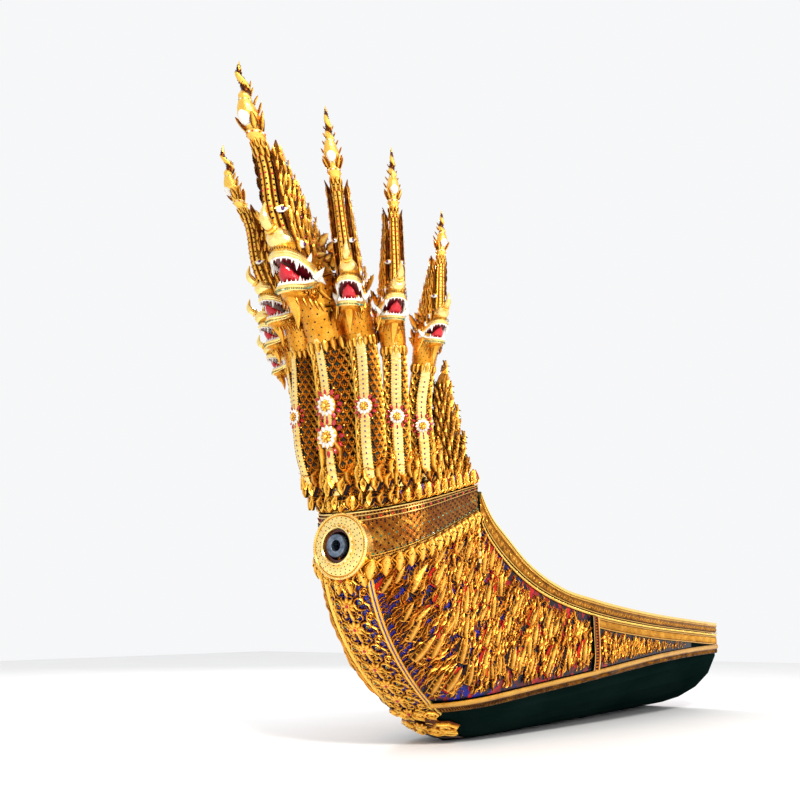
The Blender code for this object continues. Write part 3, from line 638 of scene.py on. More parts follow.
def lacquer_look():
    """The hull's black-green lacquer over planks, with faint seams and runs in the gloss."""
    look = Look("hull_lacquer", specular=0.0)
    tone = look.noise(3.0, 6.0, 0.6, (0.4, 1.0, 1.0))
    look.set("colour", look.ramp(tone, ((0.3, (0.002, 0.007, 0.006)), (0.75, (0.005, 0.013, 0.011)))))
    look.set("roughness", look.span(look.noise(24.0, 5.0), 0.4, 0.65))
    height = look.add("ShaderNodeSeparateXYZ", {0: look.place}).outputs[2]
    plank = look.maths("FRACT", look.maths("MULTIPLY", height, 1 / 0.19))
    seam = look.maths("GREATER_THAN", plank, 0.03)
    grain = look.span(look.noise(40.0, 5.0, 0.6, (0.06, 1.0, 1.0)), 0.0, 0.35)
    return look.bump(look.maths("ADD", seam, grain), 0.0009)


def steel_look(name, dull, rubbed):
    """The gun's blued and worn iron, brighter where it is rubbed."""
    look = Look(name, metallic=0.85)
    wear = look.noise(30.0, 6.0, 0.65)
    look.set("colour", look.ramp(wear, ((0.35, dull), (0.7, rubbed))))
    look.set("roughness", look.span(look.noise(90.0, 5.0), 0.2, 0.5))
    return look.bump(look.noise(300.0, 4.0), 0.0005)


# Each gold runs from full colour on the carving's backs through a middle tone to a dark brown, painted shade
# for the hollows
GOLD = gold_look("carved_gold", (1.0, 0.64, 0.12), (0.78, 0.31, 0.018), (0.10, 0.020, 0.0015))
ORANGE_GOLD = gold_look("side_carving_gold", (0.92, 0.44, 0.055), (0.48, 0.15, 0.012), (0.03, 0.008, 0.002))
POLISHED = gold_look(
    "polished_gold", (1.0, 0.70, 0.20), (0.88, 0.46, 0.06), (0.28, 0.08, 0.006), (0.14, 0.3), 0.0005
)
PALE = gold_look(
    "pale_gold", (1.0, 0.76, 0.27), (0.90, 0.46, 0.06), (0.22, 0.055, 0.004), (0.14, 0.3), 0.0004
)
# A darker, browner copy of the gold, used on the bands, the side figures and the nape boards
DARKER_GOLD = gold_look("darker_gold", (0.80, 0.43, 0.075), (0.46, 0.175, 0.014), (0.04, 0.010, 0.001))
VERMILION = paint_look(
    "vermilion_ground", (0.55, 0.012, 0.006), (0.30, 0.006, 0.004), coat=0.0, specular=0.1
)
BLUE = glass_look("blue_glass", (0.008, 0.02, 0.50), (0.004, 0.008, 0.16))
RED = glass_look("red_glass", (0.62, 0.012, 0.02), (0.24, 0.004, 0.008))
GREEN = glass_look("green_glass", (0.012, 0.20, 0.085), (0.006, 0.05, 0.05))
PURPLE = glass_look("purple_glass", (0.13, 0.012, 0.16), (0.03, 0.006, 0.07), 260.0)
PEARL = glass_look("white_glass", (0.90, 0.88, 0.82), (0.72, 0.66, 0.60), 200.0)
SIDE_GROUND = mosaic_look(
    "side_inlay",
    (
        (0.0, (0.006, 0.010, 0.26)),
        (0.16, (0.005, 0.008, 0.13)),
        (0.28, (0.006, 0.004, 0.012)),
        (0.46, (0.008, 0.005, 0.010)),
        (0.56, (0.50, 0.006, 0.008)),
        (0.70, (0.008, 0.006, 0.012)),
        (0.86, (0.40, 0.006, 0.008)),
        (1.0, (0.010, 0.006, 0.012)),
    ),
    24.0,
    (0.55, 2.35),
)
NECK_GROUND = mosaic_look(
    "neck_inlay",
    (
        (0.0, (0.02, 0.008, 0.003)),
        (0.4, (0.006, 0.03, 0.02)),
        (0.6, (0.012, 0.006, 0.006)),
        (1.0, (0.05, 0.018, 0.004)),
    ),
    60.0,
    (0.0, 0.5),
)
MOUTH = paint_look("mouth_paint", (0.16, 0.004, 0.012), (0.045, 0.001, 0.004))
TONGUE = paint_look("tongue_paint", (0.62, 0.006, 0.018), (0.42, 0.004, 0.012), gloss=(0.12, 0.3))
TOOTH = paint_look("tooth_enamel", (0.92, 0.90, 0.84), (0.70, 0.66, 0.58), gloss=(0.1, 0.3))
RED_LACQUER = paint_look("red_lacquer", (0.33, 0.010, 0.008), (0.16, 0.004, 0.004))
# Black paint for studs, gems and slits, and also painted shadow where flat leaves sit behind carved figures
DARK = paint_look("black_details_and_painted_shadow", (0.008, 0.005, 0.010), (0.02, 0.006, 0.006), coat=0.0, specular=0.1)
LINER = paint_look("port_lining", (0.10, 0.014, 0.008), (0.035, 0.005, 0.004))
TIMBER = wood_look("oiled_timber", (0.30, 0.135, 0.055), (0.13, 0.050, 0.020))
LACQUER = lacquer_look()
IRON = steel_look("gun_iron", (0.07, 0.10, 0.16), (0.24, 0.30, 0.40))
PALE_IRON = steel_look("rubbed_iron", (0.06, 0.085, 0.13), (0.26, 0.32, 0.40))

for node_name, finish in {
    "hull_shell": LACQUER,
    "joint_bulkhead": RED_LACQUER,
    "foredeck": TIMBER,
    "floor_boards": TIMBER,
    "riser_port": TIMBER,
    "riser_starboard": TIMBER,
    "port_liner": LINER,
    "gun_barrel": IRON,
    "gun_bearer": TIMBER,
    "crown_base": GOLD,
    **{f"deck_beam_{i}": TIMBER for i in (1, 2, 3)},
    **{f"floor_frame_{i}": TIMBER for i in (1, 2, 3)},
    **{f"thwart_{i}": RED_LACQUER for i in (1, 2, 3)},
}.items():
    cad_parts[node_name].material_slots[0].material = finish


# Carved strokes, flames, leaves and flowers, drawn flat with x across, y up and z out of the wood
STROKE_BLUNT, STROKE_LIFT = 0.25, 0.55


def stroke(points, wide, count=7):
    """A tapering ridge through a few points: widest a third of the way along, pointed at its tip."""
    points = np.asarray(points, float)
    knots = np.linspace(0.0, 1.0, len(points))
    t = np.linspace(0.0, 1.0, count)
    path = np.stack([curve(knots, column)(t) for column in points.T], -1)
    swell = np.clip((STROKE_BLUNT + 2.2 * t) / (STROKE_BLUNT + 0.73), 0.0, 1.0)
    taper = np.clip((1 - t) / 0.67, 0.03, 1.0) ** 0.8
    return ridge(path, wide * swell * taper, wide * STROKE_LIFT * 2)


def hook(start, end, bend, wide, count=5):
    """A short curled stroke from start to end, bowed sideways by bend."""
    start, end = np.asarray(start, float), np.asarray(end, float)
    across = np.array([-(end - start)[1], (end - start)[0]])
    return stroke((start, (start + end) / 2 + across * bend, end), wide, count)


def flame(lean=0.16, hooks=3, wide=0.10):
    """One flame, a unit tall: an S-shaped tongue with curled hooks up both of its sides."""
    parts = [stroke(((0.0, 0.0), (-0.10, 0.30), (0.06, 0.62), (lean, 1.0)), wide, 6)]
    for k in range(hooks):
        y = 0.06 + 0.56 * k / max(hooks - 1, 1)
        reach = 0.34 * (1 - 0.45 * k / hooks)
        parts.append(hook((0.02, y), (-reach, y + 0.30), -0.35, wide * 0.5, 3))
        parts.append(hook((0.02, y + 0.05), (reach * 0.95, y + 0.33), 0.35, wide * 0.5, 3))
    return merge(*parts)


def curl(turns=1.15, wide=0.13):
    """A spiral scroll a unit across that ends in a round eye."""
    t = np.linspace(0.0, 1.0, 13)
    angles = -0.5 * math.pi + t * turns * 2 * math.pi
    radii = 0.5 * (1 - 0.80 * t)
    path = np.stack([radii * np.cos(angles), radii * np.sin(angles)], -1)
    scroll = ridge(path, wide * np.linspace(0.55, 1.0, 13) * np.linspace(1.0, 0.62, 13), wide * 1.1)
    return merge(scroll, dome(0.12, 0.12, 6, 2))


def dome(radius, height, sides=8, rows=3):
    """A round bead's upper half on z = 0."""
    t, turns = (np.linspace(0.0, 1.0, rows + 1)[:-1] * math.pi / 2)[:, None], circle(sides)
    out, up = radius * np.cos(t), height * np.sin(t)
    verts, faces, _ = grid(
        np.stack([out * np.cos(turns), out * np.sin(turns), up + 0 * turns], -1), ring=True
    )
    verts = np.vstack([verts, [[0.0, 0.0, height]]])
    last = len(verts) - 1
    base = (rows - 1) * sides
    j = np.arange(sides)
    faces = faces + [np.stack([base + j, base + (j + 1) % sides, np.full(sides, last)], -1)]
    # Darker towards the foot: painted shade round the bead in the gold materials
    deep = np.clip(1 - verts[:, 2] / height * 1.6, 0.0, 1.0)
    return verts, faces, deep


LEAF_SECTION = ((-1.0, 0.0), (-0.55, 0.55), (0.0, 1.0), (0.55, 0.55), (1.0, 0.0))
# Deep is 1 at a leaf's edge and 0 on its rib: painted shade at the edge in the gold materials
LEAF_DEEP = (1.0, 0.45, 0.0, 0.45, 1.0)


def leaf(wide=0.5, tall=1.0, lift=0.22, rows=6):
    """A pointed leaf on z = 0, crowned along a rib, with a notched edge."""
    t = np.linspace(0.0, 1.0, rows)
    half = wide / 2 * np.sin(math.pi * np.clip(t * 0.94 + 0.06, 0, 1) ** 0.75) ** 0.8
    half[-1] = 0.004
    half[1:-1:2] *= 1.12
    rise = lift * np.minimum(1.0, half / (wide / 2) + 0.15)
    across, share = np.array(LEAF_SECTION).T
    points = np.stack([half[:, None] * across, (t * tall)[:, None] + 0 * across, rise[:, None] * share], -1)
    return grid(points, deep=LEAF_DEEP)


def flower(petals=8, radius=0.5, lift=0.12):
    """A rosette: a ring of leaf petals round a bead."""
    petal = moved(
        leaf(radius * 1.9 * math.pi / petals, radius * 0.78, lift, 5), shift=(0.0, radius * 0.22, 0.0)
    )
    parts = [moved(petal, turn=turn) for turn in circle(petals)]
    return merge(*parts, dome(radius * 0.3, lift * 1.5, 8, 3))


def pairs(root, heights, reach, rise, bend, wide, count):
    """Pairs of hooks that spring to the left and the right at some heights."""
    for y in heights:
        for side in (-1, 1):
            yield hook((side * root, y), (side * reach, y + rise), side * bend, wide, count)


def scroll_leaf():
    """An acanthus curl: a scroll with a fan of small strokes on its back."""
    parts = [curl(1.05, 0.15)]
    for turn in np.radians(-80 + 42 * np.arange(6)):
        foot, tip = (
            reach * np.array([math.cos(at), math.sin(at)])
            for reach, at in ((0.44, turn), (0.80, turn + 0.42))
        )
        parts.append(hook(foot, tip, 0.25, 0.085))
    return merge(*parts)


FIGURE = merge(leaf(0.36, 1.0, 0.12, 7), *pairs(0.0, (0.02, 0.22, 0.42, 0.60), 0.22, 0.26, -0.5, 0.07, 5))
FLAT_LEAF = leaf(0.55, 1.0, 0.02, 5)
FLAME = flame()
SLIM_FLAME = flame(0.24, 2, 0.085)
BROAD_FLAME = flame(0.08, 4, 0.12)
LEAF = leaf()
LONG_LEAF = leaf(0.34, 1.0, 0.10, 7)
CURL = curl()
BIG_CURL = merge(curl(1.9, 0.17), moved(curl(1.2, 0.12), 0.62, 0.4, (0.42, 0.32, 0.0)))
BEAD = dome(0.5, 0.5, 8, 3)
SMALL_BEAD = dome(0.5, 0.42, 6, 1)
ROSETTE = flower()
ACANTHUS = scroll_leaf()


def upright(a, z):
    """How far a grows with height along a line that stands upright on the side."""
    s = hull.at(a, z, 0.0, 1)[:, 0]
    return np.clip((hull.reach(s, z + 0.03) - hull.reach(s, z)) / 0.03, 0.0, 0.7)


def placed(s, low, high, share):
    """Distances and heights of places on the side, at shares of the way between two height lines."""
    z = low(s) + (high(s) - low(s)) * share
    return hull.reach(s, z), z


def spread(starts, end, count, power):
    """Rows of stations from several starts to one end, closer together at the start."""
    return starts + (end - starts) * (np.linspace(0.0, 1.0, count) ** power)[:, None]


def band(stations, low, high, shares, outs, side):
    """A plain moulding between two height lines, standing out by outs at each share of its height."""
    a, z = placed(stations, low, high, shares)
    return grid(hull.at(a, z, outs, side))


def relief(stations, low, high, shares, height, side):
    """A finely carved moulding: height(s, share) gives how far it stands out, and shades its hollows."""
    s, share = np.broadcast_arrays(stations, shares)
    a, z = placed(s, low, high, share)
    out = height(s, share)
    return grid(hull.at(a, z, out, side), deep=1 - (out - out.min()) / np.ptp(out))


SIDES = ((-1, "port"), (1, "starboard"))
GROUND_OUT = 0.006


def side_low(s):
    return lower_line(s) + LOWER_DEEP + 0.004


def side_high(s):
    return np.minimum(collar_foot(s) - 0.012, bead_line(s) - 0.014)


def aft_high(s):
    return bead_line(s) - RIB_DEEP - 0.004


def beside(line, offset):
    """The station where a height line on the hull's side comes to this offset from the centreline."""
    s = np.linspace(0.05, 1.6, 1600)
    return float(s[np.argmax(on_hull(s, line(s), 1)[:, 1] > offset)])


def starts_beside(low, high, shares, offset):
    """Those stations for the lines at shares of the way between two height lines."""
    return np.array([beside(lambda s: low(s) + (high(s) - low(s)) * share, offset) for share in shares])


def over(line, rise):
    return lambda s: line(s) + rise


def one_shape(shape, side, name, material, node, smooth=False):
    """Makes a piece of a single shape."""
    heap = Heap()
    heap.take(shape, flip=side < 0)
    heap.build(name, (material,), smooth, (node,))


def lattice(a_low, a_high, z_low, z_high, step_a, step_z, jitter):
    """A jittered, staggered lattice of places over part of the side."""
    rows = np.arange(z_low, z_high, step_z)
    columns = np.arange(a_low, a_high, step_a)
    a, z = np.meshgrid(columns, rows)
    a = a + (np.arange(len(rows)) % 2)[:, None] * step_a / 2
    a, z = a.ravel(), z.ravel()
    a = a + rng.uniform(-jitter, jitter, a.shape) * step_a
    return a, z + rng.uniform(-jitter, jitter, z.shape) * step_z


def add_laid(heap, shape, side, a, z, size, turn, out, finish=None, mirror=False, squeeze=1.0):
    """Lays copies of a template on the hull's side: arrays of place, size, turn and height above it."""
    a, z, size, turn, out, mirror = np.broadcast_arrays(a, z, size, turn, out, mirror)
    x = shape[0][:, 0] * (np.where(mirror, -1.0, 1.0) * size * squeeze)[:, None]
    y = shape[0][:, 1] * size[:, None]
    c, s = np.cos(turn)[:, None], np.sin(turn)[:, None]
    across, up = c * x - s * y, s * x + c * y
    across = across + upright(a, z)[:, None] * up
    lifts = out[:, None] + shape[0][:, 2] * size[:, None]
    places = hull.at(a[:, None] + across, z[:, None] + up, lifts, side)
    heap.copies(shape, places, finish, flips=mirror ^ (side > 0))


def fits(shape, inside, low, high, a, z, size, turn, mirror, margin=0.0):
    """Which copies of a template would stay inside a field of the side."""
    wide, tall = shape[0][:, 0], shape[0][:, 1]
    corners = ((wide.min(), 0.0), (wide.max(), 0.0), (0.0, tall.max()), (0.0, 0.0))
    keep = np.ones(a.shape, bool)
    flip = np.where(mirror, -1.0, 1.0)
    slope = upright(a, z)
    for x, y in corners:
        up = (x * np.sin(turn) * flip + y * np.cos(turn)) * size
        across = (x * np.cos(turn) * flip - y * np.sin(turn)) * size + slope * up
        point = hull.at(a + across, z + up, 0.0, 1)
        keep &= (point[:, 2] > low(point[:, 0]) - margin) & (point[:, 2] < high(point[:, 0]) + margin)
        keep &= inside(a + across, z + up)
    return keep


def past_border(a, z):
    return hull.at(a, z, 0.0, 1)[:, 1] > BORDER_HALF + 0.016


def ahead_of(a, z, s):
    return hull.at(a, z, 0.0, 1)[:, 0] < s


def clear_of_port(a, z):
    point = hull.at(a, z, 0.0, 1)
    return np.hypot(point[:, 1], point[:, 2] - PORT_Z) > PORT_RING_RADIUS + 0.01


def field_of_flames(heap, side, inside, low, high, spans, step, sizes, lean):
    """Fills a field of the side with flames: small ones at its edges, then two larger layers."""
    layers = ((SLIM_FLAME, 0.55, 0.72), (FLAME, 1.0, 1.0), (BROAD_FLAME, 1.15, 1.35))
    for layer, (shape, share, apart) in enumerate(layers):
        a, z = lattice(*spans, step[0] * apart, step[1] * apart, 0.34)
        size = rng.uniform(*sizes, a.shape) * share
        turn = -np.radians(rng.normal(lean, 13, a.shape))
        mirror = rng.random(a.shape) < 0.35
        keep = fits(shape, inside, low, high, a, z, size, turn, mirror, 0.004)
        if layer == 0:
            deep_inside = fits(FLAME, inside, low, high, a, z, size * 1.9, turn, mirror, -0.02)
            keep &= ~deep_inside | (rng.random(a.shape) < 0.3)
        a, z, size, turn, mirror = (v[keep] for v in (a, z, size, turn, mirror))
        out = GROUND_OUT + 0.004 * layer + rng.uniform(0, 0.003, a.shape)
        add_laid(heap, shape, side, a, z, size, turn, out, mirror=mirror, squeeze=1.05)


# The hull's side: carved fields over inlay, the strap, and the long mouldings
def carve_sides():
    strap_a = float(hull.reach(STRAP_S - 0.04, 0.6))
    for side, word in SIDES:
        heap = Heap()
        shares = np.linspace(0.0, 1.0, 12)
        starts = starts_beside(side_low, side_high, shares, BORDER_HALF + 0.004)
        stations = spread(starts, STRAP_S - 0.034, 60, 1.3)
        heap.take(band(stations, side_low, side_high, shares, GROUND_OUT, side), SIDE_GROUND, side < 0)
        inside = lambda a, z: past_border(a, z) & clear_of_port(a, z) & ahead_of(a, z, STRAP_S - 0.036)
        spans = (0.1, strap_a, 0.26, 1.5)
        field_of_flames(heap, side, inside, side_low, side_high, spans, (0.057, 0.059), (0.074, 0.116), 24)
        edge_z = np.arange(0.30, 1.04, 0.030)
        for offset, big in ((0.014, 0.075), (0.050, 0.09)):
            edge_s = np.array([beside(lambda s: np.full(s.shape, z), BORDER_HALF + offset) for z in edge_z])
            edge_a = hull.reach(edge_s, edge_z)
            turns = -np.radians(rng.uniform(0, 45, len(edge_z)))
            sizes = big * rng.uniform(0.85, 1.15, len(edge_z))
            add_laid(heap, FLAME, side, edge_a, edge_z, sizes, turns, 0.010 + 0.05 * offset, squeeze=1.1)
        a, z = lattice(*spans, 0.15, 0.125, 0.4)
        size = rng.uniform(0.11, 0.17, a.shape)
        turn = -np.radians(rng.normal(24, 9, a.shape))
        mirror = np.zeros(a.shape, bool)
        keep = fits(LONG_LEAF, inside, side_low, side_high, a, z, size, turn, mirror)
        a, z, size, turn = a[keep], z[keep], size[keep], turn[keep]
        # Flat leaves behind each figure, shifted down and aft: the black ones are painted shadow, the red
        # ones show vermilion ground
        shadow_and_red_ground = (a - 0.020, z - 0.004, size * 1.08, turn)
        for k, finish in enumerate((DARK, VERMILION)):
            add_laid(heap, FLAT_LEAF, side, *(v[k::2] for v in shadow_and_red_ground), 0.016, finish, squeeze=1.1)
        add_laid(heap, FIGURE, side, a, z, size, turn, 0.018, DARKER_GOLD)
        materials = (ORANGE_GOLD, SIDE_GROUND, DARKER_GOLD, DARK, VERMILION)
        heap.build(f"side_carving_{word}", materials, replaces=(f"side_panel_{word}",))
        carve_aft(side, word)


def carve_aft(side, word):
    """The carved field aft of the strap and the strap itself."""
    heap = Heap()
    stations = np.linspace(AFT_FIELD_START, AFT_PANEL_END, 60)[:, None]
    heap.take(band(stations, side_low, aft_high, (0.0, 0.5, 1.0), GROUND_OUT, side), SIDE_GROUND, side < 0)
    start, end = (float(hull.reach(s, 0.55)) for s in (STRAP_S + 0.03, AFT_PANEL_END))
    inside = lambda a, z: ~ahead_of(a, z, STRAP_S + 0.046) & ahead_of(a, z, AFT_PANEL_END)
    spans = (start, end, 0.40, 0.75)
    field_of_flames(heap, side, inside, side_low, aft_high, spans, (0.046, 0.040), (0.06, 0.095), 34)
    heap.build(f"aft_carving_{word}", (ORANGE_GOLD, SIDE_GROUND), replaces=(f"aft_panel_{word}",))
    heap = Heap()
    stations = STRAP_S - STRAP_AHEAD + STRAP_WIDE * np.linspace(0.0, 1.0, 15)[:, None]
    top = over(bead_line, -0.014)
    shares = np.linspace(0.0, 1.0, 90)

    def height(s, share):
        across = (s - STRAP_S + STRAP_AHEAD) / STRAP_WIDE
        edges = np.where((across < 0.14) | (across > 0.86), 0.010, 0.0)
        bud = np.clip(np.cos(2 * math.pi * share * STRAP_BUDS), 0, 1)
        buds = 0.009 * bud * np.clip(np.sin(math.pi * across), 0, 1)
        return 0.022 + edges + np.where((across > 0.3) & (across < 0.75), buds, 0.0)

    heap.take(relief(stations, side_low, top, shares, height, side), GOLD, side < 0)
    for s_low, s_high in ((STRAP_S - 0.018, STRAP_S - 0.009), (STRAP_S + 0.024, STRAP_S + 0.032)):
        strip = np.linspace(s_low, s_high, 3)[:, None]
        line = band(strip, side_low, top, (0.0, 0.5, 1.0), (0.03, 0.034, 0.03), side)
        heap.take(line, RED_LACQUER, side < 0)
    heap.build(f"strap_{word}", (GOLD, RED_LACQUER), replaces=(f"joint_strap_{word}",))


EDGE_SHARES = (0.0, 0.03, 0.10, 0.13, 0.16)
CAP_SECTION = (
    (-0.044, -0.020),
    (-0.047, -0.002),
    (-0.030, 0.004),
    (0.020, 0.004),
    (0.040, 0.002),
    (0.045, -0.006),
    (0.040, -0.014),
    (0.046, -0.020),
    (0.0, -0.023),
)


def carve_mouldings():
    """The gunwale's floral band and cap, the bead, the ribbed band and the low band, on both sides."""
    for side, word in SIDES:
        heap = Heap()
        stations = spread(GUNWALE_START, JOINT_S, 480, 1.1)
        low, high = over(bead_line, 0.013), over(gunwale, 0.004)
        shares = (*EDGE_SHARES, *np.linspace(0.22, 0.78, 8), 0.82, 0.86, 0.93, 1.0)

        def height(s, share):
            wave = s * 2 * math.pi / 0.062
            middle = (share - 0.47) / 0.31
            vine = np.abs(middle - 0.45 * np.sin(wave))
            stem_out = 0.009 * np.clip(1 - vine / 0.28, 0, 1)
            petals = np.clip(1 - np.abs(middle + 0.45 * np.sin(wave)) / 0.5, 0, 1)
            bloom = 0.010 * np.clip(np.cos(2 * wave), 0, 1) * petals
            field = np.where(np.abs(middle) < 1.0, np.maximum(stem_out, bloom) - 0.001, 0.0)
            edge = np.where((share < 0.13) | (share > 0.83), 0.008, 0.0)
            groove = np.where((share > 0.125) & (share < 0.17), -0.008, 0.0)
            return 0.017 + edge + groove + field

        heap.take(relief(stations, low, high, shares, height, side), DARKER_GOLD, side < 0)
        a, z = placed(np.arange(1.0, JOINT_S - 0.01, 0.0135), low, high, 0.85)
        add_laid(heap, SMALL_BEAD, side, a, z, 0.0095, 0.0, 0.022, GOLD)
        heap.build(f"gunwale_carving_{word}", (DARKER_GOLD, GOLD), replaces=(f"gunwale_{word}",))

        stations = np.linspace(GUNWALE_START + 0.005, AFT_END, 240)
        middle = np.stack([stations, side * (beam(stations) - 0.018), gunwale(stations) + 0.026], -1)
        rings = [[(x, y + side * across, z + up) for across, up in CAP_SECTION] for x, y, z in middle]
        one_shape(loft(rings), -side, f"cap_moulding_{word}", POLISHED, f"cap_rail_{word}", smooth=True)

        stations = np.linspace(0.97, AFT_END, 760)[:, None]
        foot, head = over(bead_line, -0.0125), over(bead_line, 0.0125)
        shares = np.linspace(0.0, 1.0, 7)

        def rope(s, share):
            swell = np.sqrt(np.clip(1 - (2 * share - 1) ** 2, 0, 1))
            return 0.004 + 0.016 * swell + 0.003 * swell * np.cos((s + share * 0.008) * 2 * math.pi / 0.016)

        bead = relief(stations, foot, head, shares, rope, side)
        one_shape(bead, side, f"bead_{word}", POLISHED, f"bead_rail_{word}")

        stations = np.linspace(AFT_FIELD_START, AFT_END, 1060)[:, None]
        foot, head = over(bead_line, -RIB_DEEP), over(bead_line, -0.013)
        shares = np.array([0.0, 0.04, 0.12, 0.16, 0.2, 0.5, 0.8, 0.84, 0.88, 0.96, 1.0])

        def ribs(s, share):
            comb = 0.006 * np.cos(s * 2 * math.pi / 0.0125)
            middle = (share > 0.17) & (share < 0.83)
            edge = np.where((share < 0.13) | (share > 0.87), 0.007, 0.0)
            return 0.011 + edge + np.where(middle, comb * (1 - np.abs(2 * share - 1) ** 3), -0.002)

        comb = relief(stations, foot, head, shares, ribs, side)
        one_shape(comb, side, f"rib_carving_{word}", DARKER_GOLD, f"rib_band_{word}")
        carve_low_band(side, word)


def carve_low_band(side, word):
    """The low band: a plain rounded strip over a ribbed one."""
    shares = np.array([0.0, 0.05, 0.12, 0.16, 0.28, 0.40, 0.48, 0.52, 0.6, 0.8, 0.93, 1.0])

    def height(s, share):
        ribbed = share < 0.46
        comb = 0.005 * np.cos(s * 2 * math.pi / 0.013) * np.sin(math.pi * np.clip(share / 0.46, 0, 1))
        swell = 0.010 * np.sqrt(np.clip(1 - ((share - 0.76) / 0.26) ** 2, 0, 1))
        return np.where(ribbed, 0.014 + comb, 0.015 + swell)

    top = over(lower_line, LOWER_DEEP)
    stations = spread(starts_beside(lower_line, top, shares, BORDER_HALF + 0.002), AFT_END, 600, 1.15)
    strip = relief(stations, lower_line, top, shares, height, side)
    one_shape(strip, side, f"low_band_carving_{word}", DARKER_GOLD, f"lower_band_{word}")


carve_sides()
carve_mouldings()


class StemFace(Sheet):
    """The front of the stem, laid out flat: u across it, v the distance up its curve from the keel."""

    def __init__(self):
        fine = np.linspace(0.0, 1.36, 400)
        line = np.stack([stem(fine), fine], -1)
        reach = lengths(line)
        self.v = np.linspace(0.0, reach[-1], 260)
        self.level = np.interp(self.v, reach, fine)
        self.u = np.linspace(-0.26, 0.26, 105)
        side = np.where(self.u < 0, -1.0, 1.0)
        y, level = np.broadcast_arrays(np.abs(self.u)[:, None], self.level[None, :])
        self.points = at_offset(level, y, 1)
        self.points[..., 1] *= side[:, None]
        normal = np.cross(np.gradient(self.points, axis=1), np.gradient(self.points, axis=0))
        normal[normal[..., 0] > 0] *= -1
        self.normals = unit(normal)

    def height(self, level):
        return float(np.interp(level, self.level, self.v))

    def place(self, heap, shape, y, v, size, turn, out, finish=None, mirror=False):
        """Lays one copy of a template on the stem's face."""
        verts = shape[0]
        x, up = verts[:, 0] * size * (-1.0 if mirror else 1.0), verts[:, 1] * size
        c, s = math.cos(turn), math.sin(turn)
        points = self.read(y + c * x - s * up, v + s * x + c * up, out + verts[:, 2] * size)
        heap.copies(shape, points[None], finish, flips=[not mirror])


face = StemFace()


BORDER_SECTION = (
    (-0.017, 0.002),
    (-0.016, 0.016),
    (-0.010, 0.021),
    (-0.004, 0.016),
    (-0.003, 0.010),
    (0.003, 0.010),
    (0.004, 0.016),
    (0.011, 0.022),
    (0.017, 0.014),
    (0.018, 0.002),
)
GROOVE_SECTION = ((-0.004, 0.0115), (0.004, 0.0115))
FOOT_SCROLLS = (
    (BIG_CURL, 0.135, 0.52, 0.150, 0.3),
    (BIG_CURL, 0.055, 0.40, 0.115, 0.9),
    (BIG_CURL, 0.060, 0.98, 0.105, 0.2),
    (BIG_CURL, 0.135, 1.00, 0.090, 0.1),
    (ACANTHUS, 0.110, 0.30, 0.085, 0.6),
    (FLAME, 0.020, 0.75, 0.12, -0.1),
    (FLAME, 0.090, 0.80, 0.11, -0.25),
)


def carve_stem():
    """The stem's face: flowers and scrolls over blue, two narrow borders, and a curled foot."""
    heap = Heap()
    low, high = face.height(0.19), face.height(1.02)
    y, v = np.meshgrid(np.linspace(-0.140, 0.140, 29), np.linspace(low, high, 80), indexing="ij")
    heap.take(grid(face.read(y, v, GROUND_OUT)), BLUE, True)
    for centre in np.arange(low + 0.06, high - 0.02, 0.152):
        taper = 0.82 + 0.18 * min(1.0, (centre - low) / 0.5)
        face.place(heap, ROSETTE, 0.0, centre, 0.105 * taper, 0.0, 0.020)
        face.place(heap, BEAD, 0.0, centre, 0.022, 0.0, 0.034, RED)
        face.place(heap, BROAD_FLAME, 0.0, centre + 0.035, 0.11 * taper, 0.0, 0.014)
        face.place(heap, LEAF, 0.0, centre - 0.033, 0.07, math.pi, 0.014)
        for side in (-1, 1):
            mirror = side > 0
            for shape, across, up, size, turn, out, flip in (
                (ACANTHUS, 0.078, 0.012, 0.100 * taper, 0.5, 0.014, mirror),
                (CURL, 0.045, 0.078, 0.066, -0.9, 0.017, not mirror),
                (CURL, 0.115, 0.080, 0.060, 0.4, 0.017, mirror),
                (FLAME, 0.118, -0.055, 0.115, 0.20, 0.012, mirror),
                (FLAME, 0.088, 0.040, 0.100, -0.42, 0.016, not mirror),
                (FLAME, 0.050, -0.080, 0.095, 0.45, 0.013, mirror),
                (SLIM_FLAME, 0.030, -0.055, 0.085, -0.7, 0.014, mirror),
                (SLIM_FLAME, 0.132, 0.000, 0.100, -0.05, 0.012, mirror),
            ):
                face.place(heap, shape, side * across, centre + up, size, side * turn, out, GOLD, flip)
            face.place(heap, BEAD, side * 0.078, centre + 0.012, 0.013, 0.0, 0.028, GREEN)
    heap.build("stem_carving", (GOLD, BLUE, RED, GREEN), replaces=("stem_panel",))

    for side, word in SIDES:
        heap = Heap()
        v = np.linspace(face.height(0.20), face.height(1.01), 150)
        for section, finish in ((BORDER_SECTION, GOLD), (GROOVE_SECTION, BLUE)):
            points = [face.read(side * (BORDER_HALF + across), v, out) for across, out in section]
            heap.take(grid(np.stack(points, 1)), finish, side < 0)
        heap.build(f"stem_edge_{word}", (GOLD, BLUE), smooth=True, replaces=(f"stem_border_{word}",))

    heap = Heap()
    low, high = face.height(0.03), face.height(0.215)
    y, v = np.meshgrid(np.linspace(-0.13, 0.13, 27), np.linspace(low, high, 20), indexing="ij")
    bulge = 0.010 + 0.016 * np.sin(math.pi * (v - low) / (high - low))
    # The ground behind the scrolls is set deep, so it is painted as shade
    heap.take(grid(face.read(y, v, bulge), deep=0.8), GOLD, True)
    for side in (-1, 1):
        mirror = side > 0
        for k, (shape, across, up, size, turn) in enumerate(FOOT_SCROLLS):
            v_at, out = low + (high - low) * up, 0.014 + 0.004 * (k % 4)
            face.place(heap, shape, side * across, v_at, size, side * turn, out, GOLD, mirror)
    face.place(heap, ROSETTE, 0.0, low + 0.62 * (high - low), 0.095, 0.0, 0.034)
    heap.build("stem_foot_carving", (GOLD,), replaces=("stem_foot",))


